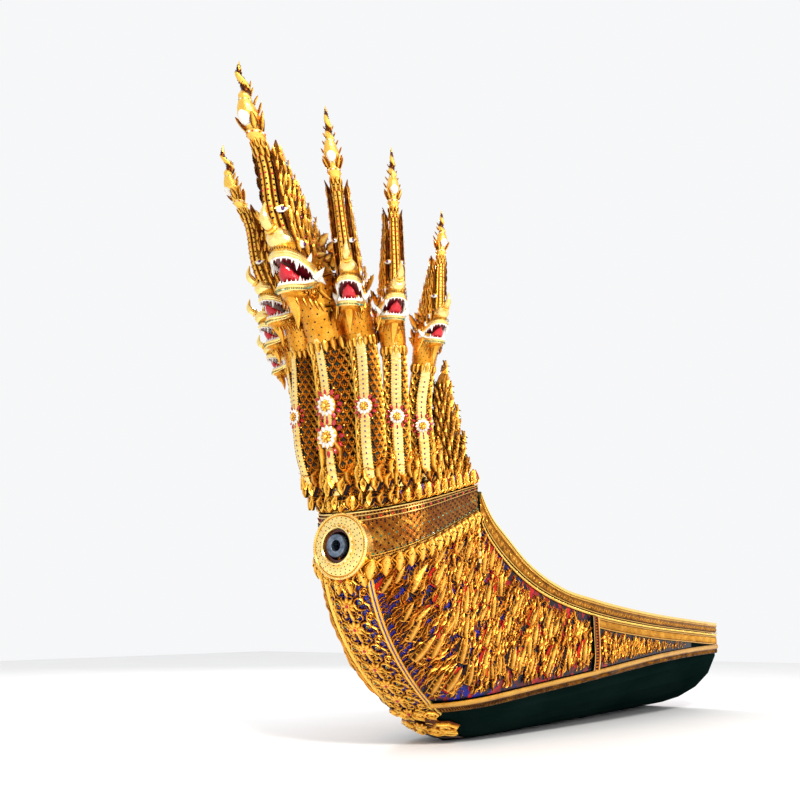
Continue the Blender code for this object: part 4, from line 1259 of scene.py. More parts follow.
# Shapes that stand free, round the port and on the crown
def stand(heap, shape, feet, ups, facing, sizes, finish=None, squeeze=1.0):
    """Adds copies of a template anywhere in space: each has a foot, an upright and a way that it faces."""
    feet, ups, facing = (np.asarray(v, float).reshape(-1, 3) for v in (feet, ups, facing))
    ups = unit(np.broadcast_to(ups, feet.shape))
    out = np.broadcast_to(facing, feet.shape)
    out = unit(out - ups * (out * ups).sum(-1, keepdims=True))
    across = np.cross(ups, out)
    sizes = np.broadcast_to(np.asarray(sizes, float), (len(feet),))[:, None, None]
    x, y, z = (shape[0][None, :, k, None] for k in range(3))
    places = feet[:, None] + sizes * (x * squeeze * across[:, None] + y * ups[:, None] + z * out[:, None])
    heap.copies(shape, places, finish)


def both_faces(shape):
    """A carved shape with the same carving on its back, for what stands free."""
    verts, faces, deep = shape
    return merge(shape, (verts * (1.0, 1.0, -1.0), turned_over(faces), deep))


FREE_FLAME = both_faces(FLAME)
FREE_BROAD = both_faces(BROAD_FLAME)
NAPE_FLAME = flame(0.10, 4, 0.16)


def collar_start(share):
    """Where the collar begins at a share of its height: just inside the port's ring."""
    level = COLLAR_LEVEL + COLLAR_DEEP * share
    offset = np.maximum(0.03, np.sqrt(np.clip(PORT_RING_RADIUS**2 - (level - PORT_Z) ** 2, 0, None)) - 0.02)
    return float(at_offset(level, offset, 1)[0])


def collar_low(s):
    return level_height(COLLAR_LEVEL, s)


def collar_high(s):
    return level_height(COLLAR_LEVEL + COLLAR_DEEP, s)


def collar_relief(a, share):
    """How far the collar stands out: a foot, a comb, a fillet, a quilted field, two ridges and a roll."""
    u, w = a / 0.062, share * COLLAR_DEEP / 0.054
    rising, falling = math.pi * (u + w), math.pi * (u - w)
    lozenge = np.abs(np.cos(rising)) * np.abs(np.cos(falling))
    rim = np.minimum(np.abs(np.sin(rising)), np.abs(np.sin(falling)))
    quilt = 0.016 + 0.0010 * lozenge + 0.0006 * np.clip(1 - rim / 0.16, 0, 1)
    roll = 0.012 + 0.016 * np.sqrt(np.clip(1 - ((share - 0.977) / 0.023) ** 2, 0, 1))
    comb = 0.019 + 0.005 * np.abs(np.cos(a * math.pi / 0.0115))
    parts = (
        (share < 0.02, 0.012),
        ((share >= 0.025) & (share < 0.085), comb),
        ((share >= 0.10) & (share < 0.125), 0.022),
        ((share > 0.15) & (share < 0.79), quilt),
        ((share > 0.80) & (share < 0.83) | (share > 0.90) & (share < 0.925), 0.026),
        (share > 0.955, roll),
    )
    return np.select(*zip(*parts), 0.017)


def carve_collar():
    """The collar with its rows of studs, and the leaves that hang below it."""
    start = min(collar_start(share) for share in (0.0, 0.5, 1.0))
    stations = spread(start, NAPE_S, 300, 1.15)[:, 0]
    reach = hull.reach(stations, level_height(1.22, stations))
    length = float(reach[-1])
    shares = np.concatenate(
        [np.linspace(0.0, 0.16, 14), np.linspace(0.17, 0.80, 22), np.linspace(0.81, 1.0, 17)]
    )
    starts = np.array([collar_start(share) for share in shares])

    def height(s, share):
        return collar_relief(np.interp(s, stations, reach), share)

    for side, word in SIDES:
        heap = Heap()
        rows = spread(starts, NAPE_S, 300, 1.15)
        heap.take(relief(rows, collar_low, collar_high, shares, height, side), PALE, side < 0)

        def studs(at, share, size, rise, finishes):
            s = np.interp(at, reach, stations)
            a, z = placed(s[s > collar_start(share)], collar_low, collar_high, share)
            for k, finish in enumerate(finishes):
                pick = slice(k, None, len(finishes))
                add_laid(heap, SMALL_BEAD, side, a[pick], z[pick], size, 0.0, rise, finish)

        for share, pitch, size, rise, finishes in (
            (0.862, 0.0240, 0.0170, 0.018, (DARK, DARK, RED)),
            (0.942, 0.0200, 0.0130, 0.016, (DARK,)),
            (0.770, 0.0240, 0.0120, 0.017, (DARK,)),
            (0.140, 0.0230, 0.0150, 0.018, (DARK, GREEN)),
            (0.093, 0.0200, 0.0110, 0.018, (DARK,)),
        ):
            studs(np.arange(reach[0] + 0.006, length, pitch), share, size, rise, finishes)
        for row in range(12):
            share = (row + 0.5) * 0.027 / COLLAR_DEEP + 0.15
            if share < 0.78:
                at = np.arange(reach[0] + 0.008 + (row % 2) * 0.024, length, 0.048)
                studs(at, share, 0.0140, 0.0170, (GREEN if row % 4 == 3 else DARK,))
        edge_z = np.linspace(1.12, 1.385, 12)
        heap.take(rod(hull.at(hull.reach(NAPE_S + 0.012, edge_z), edge_z, 0.016, side), 0.013, 10))
        materials = (PALE, DARK, RED, GREEN)
        heap.build(f"collar_carving_{word}", materials, replaces=(f"collar_{word}",))

        heap = Heap()
        first = float(np.interp(collar_start(0.0), stations, reach))
        at = first + 0.035 + (length - first - 0.06) * np.linspace(0.0, 1.0, 13)
        s = np.interp(at, reach, stations)
        z = collar_low(s) + 0.014
        a = hull.reach(s, z)
        size = np.linspace(0.118, 0.090, len(s))
        add_laid(heap, HANGING, side, a, z, size, math.pi, 0.028)
        for across, up in ((-0.018, 0.35), (0.018, 0.35), (0.0, 0.60)):
            add_laid(heap, SMALL_BEAD, side, a + across, z - size * up, 0.012, 0.0, 0.050, DARK)
        s = np.interp((at[:-1] + at[1:]) / 2, reach, stations)
        z = collar_low(s) + 0.01
        add_laid(heap, FLAME, side, hull.reach(s, z), z, 0.062, math.pi, 0.010, squeeze=1.1)
        heap.build(f"collar_leaves_{word}", (GOLD, DARK))


def round_leaf():
    """A broad leaf with a point, curled edges and a bud, for the crown and below the collar."""
    edges = pairs(0.10, (0.03,), 0.20, 0.77, -0.42, 0.09, 7)
    inner = pairs(0.04, (0.10,), 0.12, 0.46, -0.40, 0.06, 5)
    lifted = [moved(part, shift=(0.0, 0.0, 0.16)) for part in (*edges, *inner)]
    return merge(leaf(0.86, 1.0, 0.26, 9), *lifted, moved(BEAD, 0.16, shift=(0.0, 0.30, 0.24)))


HANGING = round_leaf()


MUZZLE_SECTION = (
    (0.0665, 0.004),
    (0.0685, -0.004),
    (0.066, -0.0135),
    (0.060, -0.0145),
    (0.056, -0.0125),
    (0.040, -0.0125),
    (0.036, -0.014),
    (0.0335, -0.012),
    (0.0335, 0.03),
)


def turned(profile, count, deep=0.0):
    """A shape turned about the gun's axis, from (radius, x) points outwards in."""
    turns = circle(count)
    c, s = np.cos(turns), np.sin(turns)
    rows = [np.stack([np.full(count, x), radius * c, PORT_Z + radius * s], -1) for radius, x in profile]
    return grid(rows, True, np.reshape(deep, (-1, 1)))


def port_gems(heap, radius, count, size, x, finishes, phase=0.0):
    """A ring of gems on the port's face, in turn in these finishes."""
    turns = circle(count, phase)
    way = np.stack([np.zeros(count), np.cos(turns), np.sin(turns)], -1)
    feet = way * radius + (x, 0.0, PORT_Z)
    for k, finish in enumerate(finishes):
        stand(
            heap,
            SMALL_BEAD,
            feet[k :: len(finishes)],
            way[k :: len(finishes)],
            (-1.0, 0.0, 0.0),
            size,
            finish,
        )


def carve_port():
    """The gun port's ring: polished rolls, petals and rows of gems round the bore."""
    heap = Heap()
    edge, bore = PORT_RING_RADIUS, PORT_BORE_RADIUS
    profile = (
        (edge, 0.17), (edge, 0.028), (edge - 0.003, 0.019), (edge - 0.009, 0.015), (edge - 0.015, 0.019),
        (edge - 0.019, 0.023), (edge - 0.024, 0.019), (edge - 0.032, 0.016), (edge - 0.044, 0.012),
        (edge - 0.058, 0.009), (edge - 0.066, 0.008), (edge - 0.072, 0.005), (edge - 0.080, 0.000),
        (bore + 0.012, -0.012), (bore + 0.006, -0.014), (bore + 0.001, -0.008), (bore, 0.0), (bore, 0.17),
    )
    # Painted shade: darker in the grooves and down into the bore
    deep = (0.2, 0.2, 0.0, 0.0, 0.3, 0.6, 0.1, 0.0, 0.0, 0.0, 0.0, 0.2, 0.3, 0.0, 0.0, 0.0, 0.4, 0.9)
    heap.take(turned(profile, 96, deep))
    port_gems(heap, edge - 0.033, 30, 0.0105, 0.0165, (DARK,))
    port_gems(heap, edge - 0.050, 24, 0.0095, 0.0115, (DARK, DARK, RED), phase=0.5)
    port_gems(heap, edge - 0.066, 32, 0.0085, 0.008, (DARK,))
    port_gems(heap, bore + 0.0165, 40, 0.0085, -0.006, (PEARL, PALE, PEARL, DARK))
    port_gems(heap, edge - 0.009, 84, 0.008, 0.016, (PALE,))
    heap.build("port_dress", (PALE, DARK, RED, PEARL), replaces=("port_ring",))
    heap = Heap()
    for across in (-0.112, -0.038, 0.038, 0.112):
        level = PORT_Z - math.sqrt(edge**2 - across**2) + 0.012
        face.place(heap, HANGING, across, face.height(level), 0.098, math.pi + across * 1.4, 0.018)
        for y, up in ((-0.018, 0.035), (0.018, 0.035), (0.0, 0.06)):
            face.place(heap, SMALL_BEAD, across + y, face.height(level) - up, 0.010, 0.0, 0.042, DARK)
    heap.build("port_leaves", (GOLD, DARK))
    heap = Heap()
    heap.take(turned(MUZZLE_SECTION, 64))
    heap.build("muzzle_rim", (PALE_IRON,), smooth=True)


carve_stem()
carve_collar()
carve_port()


def outwards(line, along, middle):
    """Level directions square to a line, all turned away from a middle point."""
    out = unit(np.stack([along[:, 1], -along[:, 0], np.zeros(len(line))], -1))
    return out * np.where((out * (line - middle))[:, :2].sum(-1) < 0, -1.0, 1.0)[:, None]


# The crown: standing leaves round its edge, and flames between the necks
def crown_line(count, inset=0.0):
    """Points round the crown's edge, from the port nape to the starboard one, and their outward ways."""
    t = np.linspace(0.0, 1.0, 400)
    half = on_level(CROWN_FRONT_Z, STEM_FACE + (NAPE_S - STEM_FACE) * t**2, 1)
    line = np.concatenate([(half * (1, -1, 1))[::-1], half[1:]])
    reach = lengths(line)
    at = np.linspace(0.0, reach[-1], count)

    def shifted(step):
        return np.stack([np.interp(at + step, reach, column) for column in line.T], -1)

    points = shifted(0.0)
    out = outwards(points, shifted(0.01) - shifted(-0.01), (0.6, 0.0, 0.0))
    return points - out * inset, out


def carve_crown():
    """The standing leaves with glass leaves behind them, a beaded rail, and three rows of flames."""
    heap = Heap()
    standing = both_faces(HANGING)
    points, out = crown_line(2 * LEAF_COUNT + 1)
    odd, even = slice(1, None, 2), slice(0, None, 2)
    lean = UP + out * 0.13
    foot = points + (0.0, 0.0, 0.002) - out * 0.004
    stand(heap, standing, foot[odd] + out[odd] * 0.008, lean[odd], out[odd], 0.100, squeeze=0.95)
    behind = foot[even] - out[even] * 0.004
    for k, finish in enumerate((RED, PURPLE)):
        stand(heap, LEAF, behind[k::2], lean[even][k::2], out[even][k::2], 0.092, finish, 1.9)
    along = np.cross(lean[odd], out[odd])
    for across, up in ((-0.020, 0.030), (0.020, 0.030), (0.0, 0.062)):
        spots = foot[odd] + along * across + lean[odd] * up + out[odd] * 0.030
        stand(heap, SMALL_BEAD, spots, lean[odd], out[odd], 0.010, DARK)
    heap.take(rod(points + (0.0, 0.0, 0.008) + out * 0.002, 0.0075, 8))
    beads, out = crown_line(190)
    beads = beads + out * 0.009 + (0.0, 0.0, 0.009)
    for k, finish in enumerate((GOLD, DARK)):
        stand(heap, SMALL_BEAD, beads[k::2], UP, out[k::2], 0.010, finish)
    heap.build("crown_leaves", (GOLD, PEARL, RED, PURPLE, DARK), replaces=("leaf_row",))

    heap = Heap()
    for inset, count, size, rise in (
        (0.018, 46, 0.11, 0.03),
        (0.045, 36, 0.14, 0.03),
        (0.10, 22, 0.18, 0.04),
    ):
        points, out = (row[1:-1] for row in crown_line(count, inset))
        sizes = size * rng.uniform(0.85, 1.12, len(points))
        lean = UP + out * rng.uniform(0.05, 0.22, len(points))[:, None]
        stand(heap, FREE_FLAME, points + (0, 0, rise), lean, out, sizes, squeeze=0.85)
    heap.build("crown_flames", (GOLD,))
    carve_nape()


NAPE_OFFSET = 0.355


def carve_nape():
    """The two flame boards that stand behind the outer necks."""
    for side, word in SIDES:
        heap = Heap()
        count = 30
        path = smooth_path(
            ((0.75, 1.50), (0.73, 1.75), (0.67, 1.92), (0.61, 2.1), (0.6, 2.24), (0.64, 2.36)),
            count,
        )
        wide = np.interp(
            np.linspace(0, 1, count),
            (0.0, 0.28, 0.5, 0.7, 0.86, 1.0),
            (0.14, 0.165, 0.145, 0.10, 0.05, 0.004),
        )
        rings = []
        for (s, z), w in zip(path, wide):
            edge = ((-w, 0.0, 0.0), (0.0, 0.019, 0.01), (w, 0.0, 0.0), (0.0, -0.019, 0.01))
            rings.append([(s + ahead, side * (NAPE_OFFSET + across), z + up) for ahead, across, up in edge])
        # The board behind the flames is set deep: painted shade
        heap.take(loft(rings, deep=0.6), DARKER_GOLD, side > 0)
        for hand in (-1, 1):
            facing = (0.0, float(hand), 0.0)
            for k in range(0, count - 5, 2):
                s, z = path[k]
                for share in ((-0.8, -0.3, 0.2, 0.7) if k % 4 else (-0.55, -0.05, 0.45, 0.9)):
                    across = side * NAPE_OFFSET + hand * (0.022 - 0.012 * abs(share))
                    foot = (s + share * wide[k], across, z - 0.03)
                    up = (0.55 * share - 0.12, 0.0, 1.0)
                    size = (0.06 + 0.62 * wide[k]) * rng.uniform(0.65, 0.9)
                    stand(heap, NAPE_FLAME, foot, up, facing, size, squeeze=0.9)
        for z, reach, lean in (
            (1.62, 0.14, 0.5),
            (1.78, 0.155, 0.42),
            (1.94, 0.13, 0.36),
            (2.08, 0.10, 0.28),
            (2.2, 0.05, 0.2),
        ):
            s = float(np.interp(z, path[:, 1], path[:, 0])) + reach * 0.62
            foot = (s, side * NAPE_OFFSET, z)
            stand(heap, FREE_BROAD, foot, (lean, 0.0, 1.0), (0.0, 1.0, 0.0), 0.21, squeeze=0.9)
        heap.build(f"nape_carving_{word}", (DARKER_GOLD,), replaces=(f"nape_flame_{word}",))


# Necks
def scale_shape():
    """One scale: two raised rims, open above, round a small dark eye."""
    rim = smooth_path(
        (
            (-0.47, 0.40, 0),
            (-0.44, 0.0, 0),
            (-0.26, -0.36, 0),
            (0, -0.50, 0),
            (0.26, -0.36, 0),
            (0.44, 0.0, 0),
            (0.47, 0.40, 0),
        ),
        8,
    )
    inner = arc((0.0, 0.0), 0.22, 165, 375, 4)
    return merge(ridge(rim[:, :2], 0.15, 0.28), ridge(inner, 0.13, 0.14))


SCALE = scale_shape()


class Neck:
    """A serpent's neck: a bent tube with a front, where its belly plates run."""

    def __init__(self, look, side):
        self.word, heading, self.radius, self.unit, axis, self.tip = look
        axis = np.array(axis) * (1, side, 1)
        self.low, self.high = axis[0][2], axis[-1][2]
        self.s_at = curve(axis[:, 2], axis[:, 0])
        self.y_at = curve(axis[:, 2], axis[:, 1])
        foot = BELLY_HEADINGS[self.word]
        tall = self.high - self.low
        knots = (self.low, self.low + 0.5 * tall, self.low + 0.75 * tall, self.high)
        self.heading = curve(knots, (foot, foot, (foot + heading) / 2, heading))
        self.side = side
        self.forward = self.front(np.array(self.high))

    def front(self, z):
        turn = np.radians(self.heading(z))
        return np.stack([-np.cos(turn), self.side * np.sin(turn), 0 * turn], -1)

    def centre(self, z):
        return np.stack([self.s_at(z), self.y_at(z), z], -1)

    def girth(self, z):
        t = (z - self.low) / (self.high - self.low)
        return self.radius * (1.12 - 0.16 * t)

    def ways(self, z):
        """Tangent, forward and right-hand directions at heights z."""
        tangent = unit(self.centre(z + 0.01) - self.centre(z - 0.01))
        front = self.front(z)
        forward = unit(front - tangent * (tangent * front).sum(-1, keepdims=True))
        return tangent, forward, np.cross(forward, tangent)

    def at(self, z, turn, out):
        """Points round the neck: turn is the angle from its front, out the height off its skin."""
        z, turn, out = np.broadcast_arrays(*(np.asarray(v, float) for v in (z, turn, out)))
        _, forward, right = self.ways(z)
        way = np.cos(turn)[..., None] * forward + np.sin(turn)[..., None] * right
        return self.centre(z) + way * (self.girth(z) + out)[..., None], way

    def wrap(self, heap, shape, z, turn, size, out, finish=None, squeeze=1.0, down=False):
        """Adds copies of a template wrapped round the neck, pointing up or down it."""
        z, turn, size, out = np.broadcast_arrays(np.atleast_1d(z), turn, size, out)
        local = shape[0][None] * size[:, None, None]
        up = local[..., 1] * (-1.0 if down else 1.0)
        angle = turn[:, None] + local[..., 0] * squeeze / self.girth(z)[:, None]
        points, _ = self.at(z[:, None] + up, angle, out[:, None] + local[..., 2])
        heap.copies(shape, points, finish, flips=not down)


BELLY_HEADINGS = {"centre": 0.0, "first": 15.0, "second": 34.0, "third": 38.0}
BELLY_HALF = 0.031
ROSETTE_HEIGHTS = {"centre": 2.03, "first": 1.98, "second": 1.945, "third": 1.925}


def scale_places(neck, belly, top):
    """Heights and turns of the scales, in staggered rows from the foot to the head."""
    scale = 0.052 if neck.radius > 0.1 else 0.042
    z_at, turn_at = [], []
    for k, row in enumerate(np.arange(neck.low + 0.08, top - scale, scale * 0.74)):
        room = 2 * (math.pi - belly)
        count = int(room * neck.girth(row) / (scale * 0.96))
        z_at.append(np.full(count, row))
        turn_at.append(belly + room / count * (np.arange(count) + (0.5 if k % 2 else 0.0) + 0.25))
    return np.concatenate(z_at), np.concatenate(turn_at), scale


def rosette(heap, neck, z, big):
    """A flower on the belly with a ring of glass petals round it."""
    point, way = neck.at(z, 0.0, 0.001)
    tangent, _, right = neck.ways(np.array(z))
    for shape, size, out, finish in (
        (dome(0.5, 0.12, 20, 3), big * 1.35, 0.0, GOLD),
        (flower(12, 0.5, 0.07), big * 1.30, 0.010, PEARL),
        (flower(8, 0.34, 0.10), big * 1.15, 0.016, GOLD),
        (BEAD, big * 0.30, 0.024, GOLD),
    ):
        stand(heap, shape, point + way * out, tangent, way, size, finish)
    turns = circle(12)
    spokes = np.cos(turns)[:, None] * right + np.sin(turns)[:, None] * tangent
    for shape, reach, size, finish in ((LEAF, 0.62, 0.42, RED), (BEAD, 1.08, 0.13, GOLD)):
        up, across = (spokes @ way_out * big * reach for way_out in (tangent, right))
        feet, ways = neck.at(z + up, across / neck.girth(z), 0.003)
        stand(heap, shape, feet, spokes, ways, big * size, finish, 1.2)


def carve_neck(look, side, name):
    """One neck: scales and belly plates, then a flower, flames up its back and leaves at its foot."""
    neck = Neck(look, side)
    belly = BELLY_HALF / neck.radius
    heap = Heap()
    top = neck.high + 0.35 * neck.unit
    z = np.linspace(neck.low + 0.05, top, 30)
    turns = circle(28)
    skin, _ = neck.at(z[:, None], turns[None, :], -0.009)
    heap.take(loft(skin, deep=0.5), NECK_GROUND, True)
    z_at, turn_at, scale = scale_places(neck, belly, top)
    neck.wrap(heap, SCALE, z_at, turn_at, scale * 1.02, -0.0085)

    plate = 0.034 if neck.radius > 0.1 else 0.027
    z = np.linspace(neck.low + 0.09, top, int((top - neck.low) / plate * 4))
    rise, across = np.meshgrid(z, np.linspace(-1, 1, 11), indexing="ij")
    swell = np.abs(np.sin(math.pi * rise / plate)) ** 0.35
    edge = np.abs(across) > 0.80
    out = np.where(edge, 0.004, 0.0015 + 0.0018 * swell + 0.004 * (1 - across**2))
    points, _ = neck.at(rise, across * belly, out)
    # Painted shade at the plates' edges and in the seams between them
    heap.take(grid(points, deep=np.where(edge, 0.5, 0.3 * (1 - swell))), PALE, True)
    gems = np.arange(neck.low + 0.12, neck.low + 0.72 * (neck.high - neck.low), plate)
    neck.wrap(heap, SMALL_BEAD, gems, 0.0, plate * 0.42, 0.007, PURPLE)
    dots = np.arange(neck.low + 0.05, top, 0.015)
    for hand in (-1, 1):
        for rise, size, finish in ((0.0, 0.010, DARK), (0.0075, 0.009, GOLD)):
            neck.wrap(heap, SMALL_BEAD, dots + rise, hand * belly * 0.93, size, 0.003, finish)
    heap.build(f"scales_{name}", (GOLD, NECK_GROUND, PALE, PURPLE, DARK), replaces=(f"neck_{name}",))

    heap = Heap()
    level = ROSETTE_HEIGHTS[neck.word]
    big = 0.62 * (neck.radius + 0.045)
    rosette(heap, neck, level, big)
    if neck.word == "centre":
        rosette(heap, neck, level - 0.20, big * 1.05)
        for hand in (-1, 1):
            neck.wrap(heap, BROAD_FLAME, level - 0.34, hand * 0.42, 0.20, 0.004)
    for share in np.linspace(0.0, 1.0, 11):
        z = neck.low + 0.12 + (neck.high - neck.low - 0.22) * share
        foot, way = neck.at(z, math.pi, -0.014)
        tangent, _, right = neck.ways(np.array(z))
        size = neck.radius * (1.35 + 0.25 * math.sin(7 * share))
        stand(heap, FREE_FLAME, foot, tangent * 0.9 + way * 0.62, right, size, squeeze=0.95)
    for rise, count, size, lean, turn in (
        (0.13, 9, 0.20, -0.05, 0.0),
        (0.09, 10, 0.16, 0.06, 0.3),
        (0.01, 11, 0.13, 0.04, 0.1),
    ):
        turns = circle(count) + turn
        foot, way = neck.at(np.full(count, neck.low + rise), turns, 0.022 + 0.05 * lean)
        sizes = size * (0.80 + 1.8 * neck.radius) * rng.uniform(0.95, 1.05, count)
        ups = UP + way * lean
        # A black flat leaf just behind each standing leaf: painted shadow
        stand(heap, FLAT_LEAF, foot - way * 0.006, ups, way, sizes * 1.04, DARK, 0.85)
        stand(heap, FREE_BROAD, foot, ups, way, sizes * 1.05, squeeze=1.35)
    heap.build(f"neck_dress_{name}", (GOLD, RED, PEARL, DARK))
    return neck


# Heads, drawn in head units: forward, right and up from the end of the neck
DOTS = (DARK, DARK, TONGUE)


def bulk(stations, sides=20, square=0.8, deep=0.35):
    """A body through (forward, bottom, top, half-width) stations."""
    stations = np.asarray(stations, float)
    knots = stations[:, 0]
    f = np.linspace(knots[0], knots[-1], 3 * len(stations))
    bottom, top, half = (curve(knots, column)(f) for column in stations.T[1:])
    turns = circle(sides)
    c, s = np.cos(turns), np.sin(turns)
    c, s = np.sign(c) * np.abs(c) ** square, np.sign(s) * np.abs(s) ** square
    middle, tall = (top + bottom) / 2, (top - bottom) / 2
    rings = np.stack([f[:, None] + 0 * c, half[:, None] * c, middle[:, None] + tall[:, None] * s], -1)
    return loft(rings, deep)


SKULL = (
    (-1.05, 0.35, 1.2, 0.35),
    (-0.6, -0.2, 1.75, 0.80),
    (0.0, -0.35, 2.1, 1.0),
    (0.7, 0.05, 2.15, 0.94),
    (1.5, 0.38, 2.25, 0.84),
    (2.3, 0.62, 2.3, 0.74),
    (2.8, 0.72, 2.3, 0.62),
    (3.1, 0.85, 2.2, 0.46),
    (3.25, 1.1, 1.9, 0.2),
)
JAW = (
    (-0.7, -0.9, 0.1, 0.45),
    (-0.1, -1.1, 0.05, 0.80),
    (0.5, -1.22, -0.20, 0.86),
    (1.0, -1.30, -0.40, 0.82),
    (1.5, -1.36, -0.58, 0.74),
    (2.0, -1.30, -0.72, 0.56),
    (2.42, -1.12, -0.80, 0.24),
)
PALATE = (
    (0.4, -0.1, 0.3, 0.82),
    (1.2, 0.18, 0.5, 0.78),
    (2.0, 0.42, 0.7, 0.68),
    (2.7, 0.54, 0.8, 0.50),
    (3.0, 0.62, 0.8, 0.2),
)
MOUTH_FLOOR = (
    (0.3, -0.4, 0.0, 0.76),
    (1.0, -0.6, -0.3, 0.74),
    (1.6, -0.8, -0.48, 0.64),
    (2.2, -0.9, -0.64, 0.38),
)
THROAT = ((-0.3, -0.5, 1.1, 0.5), (0.4, -0.5, 0.9, 0.84), (0.75, -0.45, 0.7, 0.82), (0.85, -0.3, 0.6, 0.6))
TONGUE_BODY = (
    (0.5, -0.45, 0.0, 0.5),
    (1.2, -0.52, -0.10, 0.54),
    (1.7, -0.55, 0.02, 0.54),
    (2.1, -0.50, 0.18, 0.50),
    (2.45, -0.30, 0.34, 0.38),
    (2.7, 0.10, 0.46, 0.08),
)
UPPER_LIP = (
    (0.70, 0.92, 0.02),
    (1.3, 0.90, 0.30),
    (1.9, 0.84, 0.52),
    (2.5, 0.74, 0.62),
    (2.95, 0.50, 0.66),
    (3.14, 0.0, 0.66),
)
LOWER_LIP = (
    (0.70, 0.90, -0.08),
    (1.1, 0.86, -0.30),
    (1.5, 0.80, -0.50),
    (1.95, 0.68, -0.64),
    (2.35, 0.44, -0.72),
    (2.5, 0.0, -0.76),
)
CREST_ROOT = 2.2
CREST_LEAN = (
    (0, 0),
    (0.1, 0.15),
    (0.21, 0.27),
    (0.45, 0.42),
    (0.57, 0.57),
    (0.7, 0.76),
    (0.88, 0.9),
    (1, 1),
)
CREST_HALVES = (
    (0.0, 0.58, 0.8),
    (0.10, 0.50, 0.66),
    (0.21, 0.46, 0.56),
    (0.33, 0.44, 0.52),
    (0.45, 0.42, 0.48),
    (0.55, 0.40, 0.46),
    (0.585, 0.40, 0.44),
    (0.60, 0.50, 0.54),
    (0.615, 0.50, 0.54),
    (0.63, 0.38, 0.42),
    (0.66, 0.46, 0.52),
    (0.70, 0.56, 0.64),
    (0.74, 0.48, 0.54),
    (0.78, 0.34, 0.36),
    (0.83, 0.27, 0.31),
    (0.88, 0.22, 0.28),
    (0.95, 0.11, 0.14),
    (1.0, 0.015, 0.015),
)
HORN_SHARES = (0.0, 0.12, 0.21, 0.33, 0.45, 0.53, 0.58)
HORN_BACK = (1.3, 1.32, 1.08, 0.78, 0.50, 0.42, 0.42)
HORN_SIDE = (0.6, 0.64, 0.62, 0.6, 0.6, 0.68, 0.85)
HORN_HALVES = ((0.3, 1.5), (0.3, 1.35), (0.28, 1.15), (0.26, 0.9), (0.22, 0.6), (0.14, 0.3), (0.03, 0.05))
crest_lean = curve(*zip(*CREST_LEAN))


class Head:
    """Puts shapes given in head units where one serpent's head is."""

    def __init__(self, neck, heap):
        self.heap = heap
        self.unit = neck.unit
        self.origin = neck.centre(np.array(neck.high))
        self.basis = np.stack([neck.forward, np.cross(neck.forward, UP), UP])
        self.reach, self.inboard, self.rise = (length / neck.unit for length in neck.tip)
        self.inboard *= neck.side

    def to_world(self, points):
        return self.origin + (np.asarray(points, float) * self.unit) @ self.basis

    def ways(self, directions):
        return np.asarray(directions, float) @ self.basis

    def body(self, shape, finish=None):
        """Adds one shape given in head units."""
        verts, faces, deep = shape
        self.heap.take((self.to_world(verts), faces, deep), finish, True)

    def put(self, shape, feet, ups, facing, sizes, finish=None, squeeze=1.0):
        """Adds standing copies of a template, their places, ways and sizes given in head units."""
        feet = self.to_world(np.asarray(feet, float).reshape(-1, 3))
        sizes = np.asarray(sizes, float) * self.unit
        stand(self.heap, shape, feet, self.ways(ups), self.ways(facing), sizes, finish, squeeze)

    def tilt(self, t):
        return unit(self.crest(t + 0.08) - self.crest(t))

    def crest(self, t, back=0.0, out=0.0):
        """Points of the crest's line at shares t of its height, or points behind it and beside it."""
        t, back, out = np.broadcast_arrays(*(np.asarray(v, float) for v in (t, back, out)))
        wave = 0.22 * np.sin(2 * math.pi * (t - 0.80) / 0.2) * (t > 0.80)
        forward = CREST_ROOT + (self.reach - CREST_ROOT) * crest_lean(t) - wave
        forward = np.minimum(forward, self.reach - 0.185) - back
        return np.stack([forward, out - self.inboard * t, 1.3 + (self.rise - 1.3) * t], -1)


def lip_line(points, count):
    """A lip from its left corner round the snout to its right corner, with the outward ways."""
    half = smooth_path(points, count)
    line = np.concatenate([half * (1, -1, 1), half[-2::-1]])
    return line, outwards(line, np.gradient(line, axis=0), (1.2, 0.0, 0.0))


def tooth():
    """A curved tooth, a unit tall."""
    path = smooth_path(((0.0, 0.0, 0.0), (0.0, 0.5, 0.10), (0.0, 1.0, 0.04)), 5)
    return rod(path, (0.30, 0.27, 0.19, 0.10, 0.01), 6, (1.0, 0.0, 0.0))


TOOTH_SHAPE = tooth()
LAID_PLUME = merge(
    leaf(0.46, 1.0, 0.13, 5),
    *pairs(0.05, (0.12,), 0.27, 0.38, 0.35, 0.07, 3),
    *pairs(0.05, (0.42,), 0.20, 0.34, 0.30, 0.05, 3),
)
PLUME = both_faces(LAID_PLUME)
SPIRAL = merge(curl(2.1, 0.075), dome(0.10, 0.10, 8, 2))
ALMOND = leaf(0.42, 1.0, 0.16, 7)


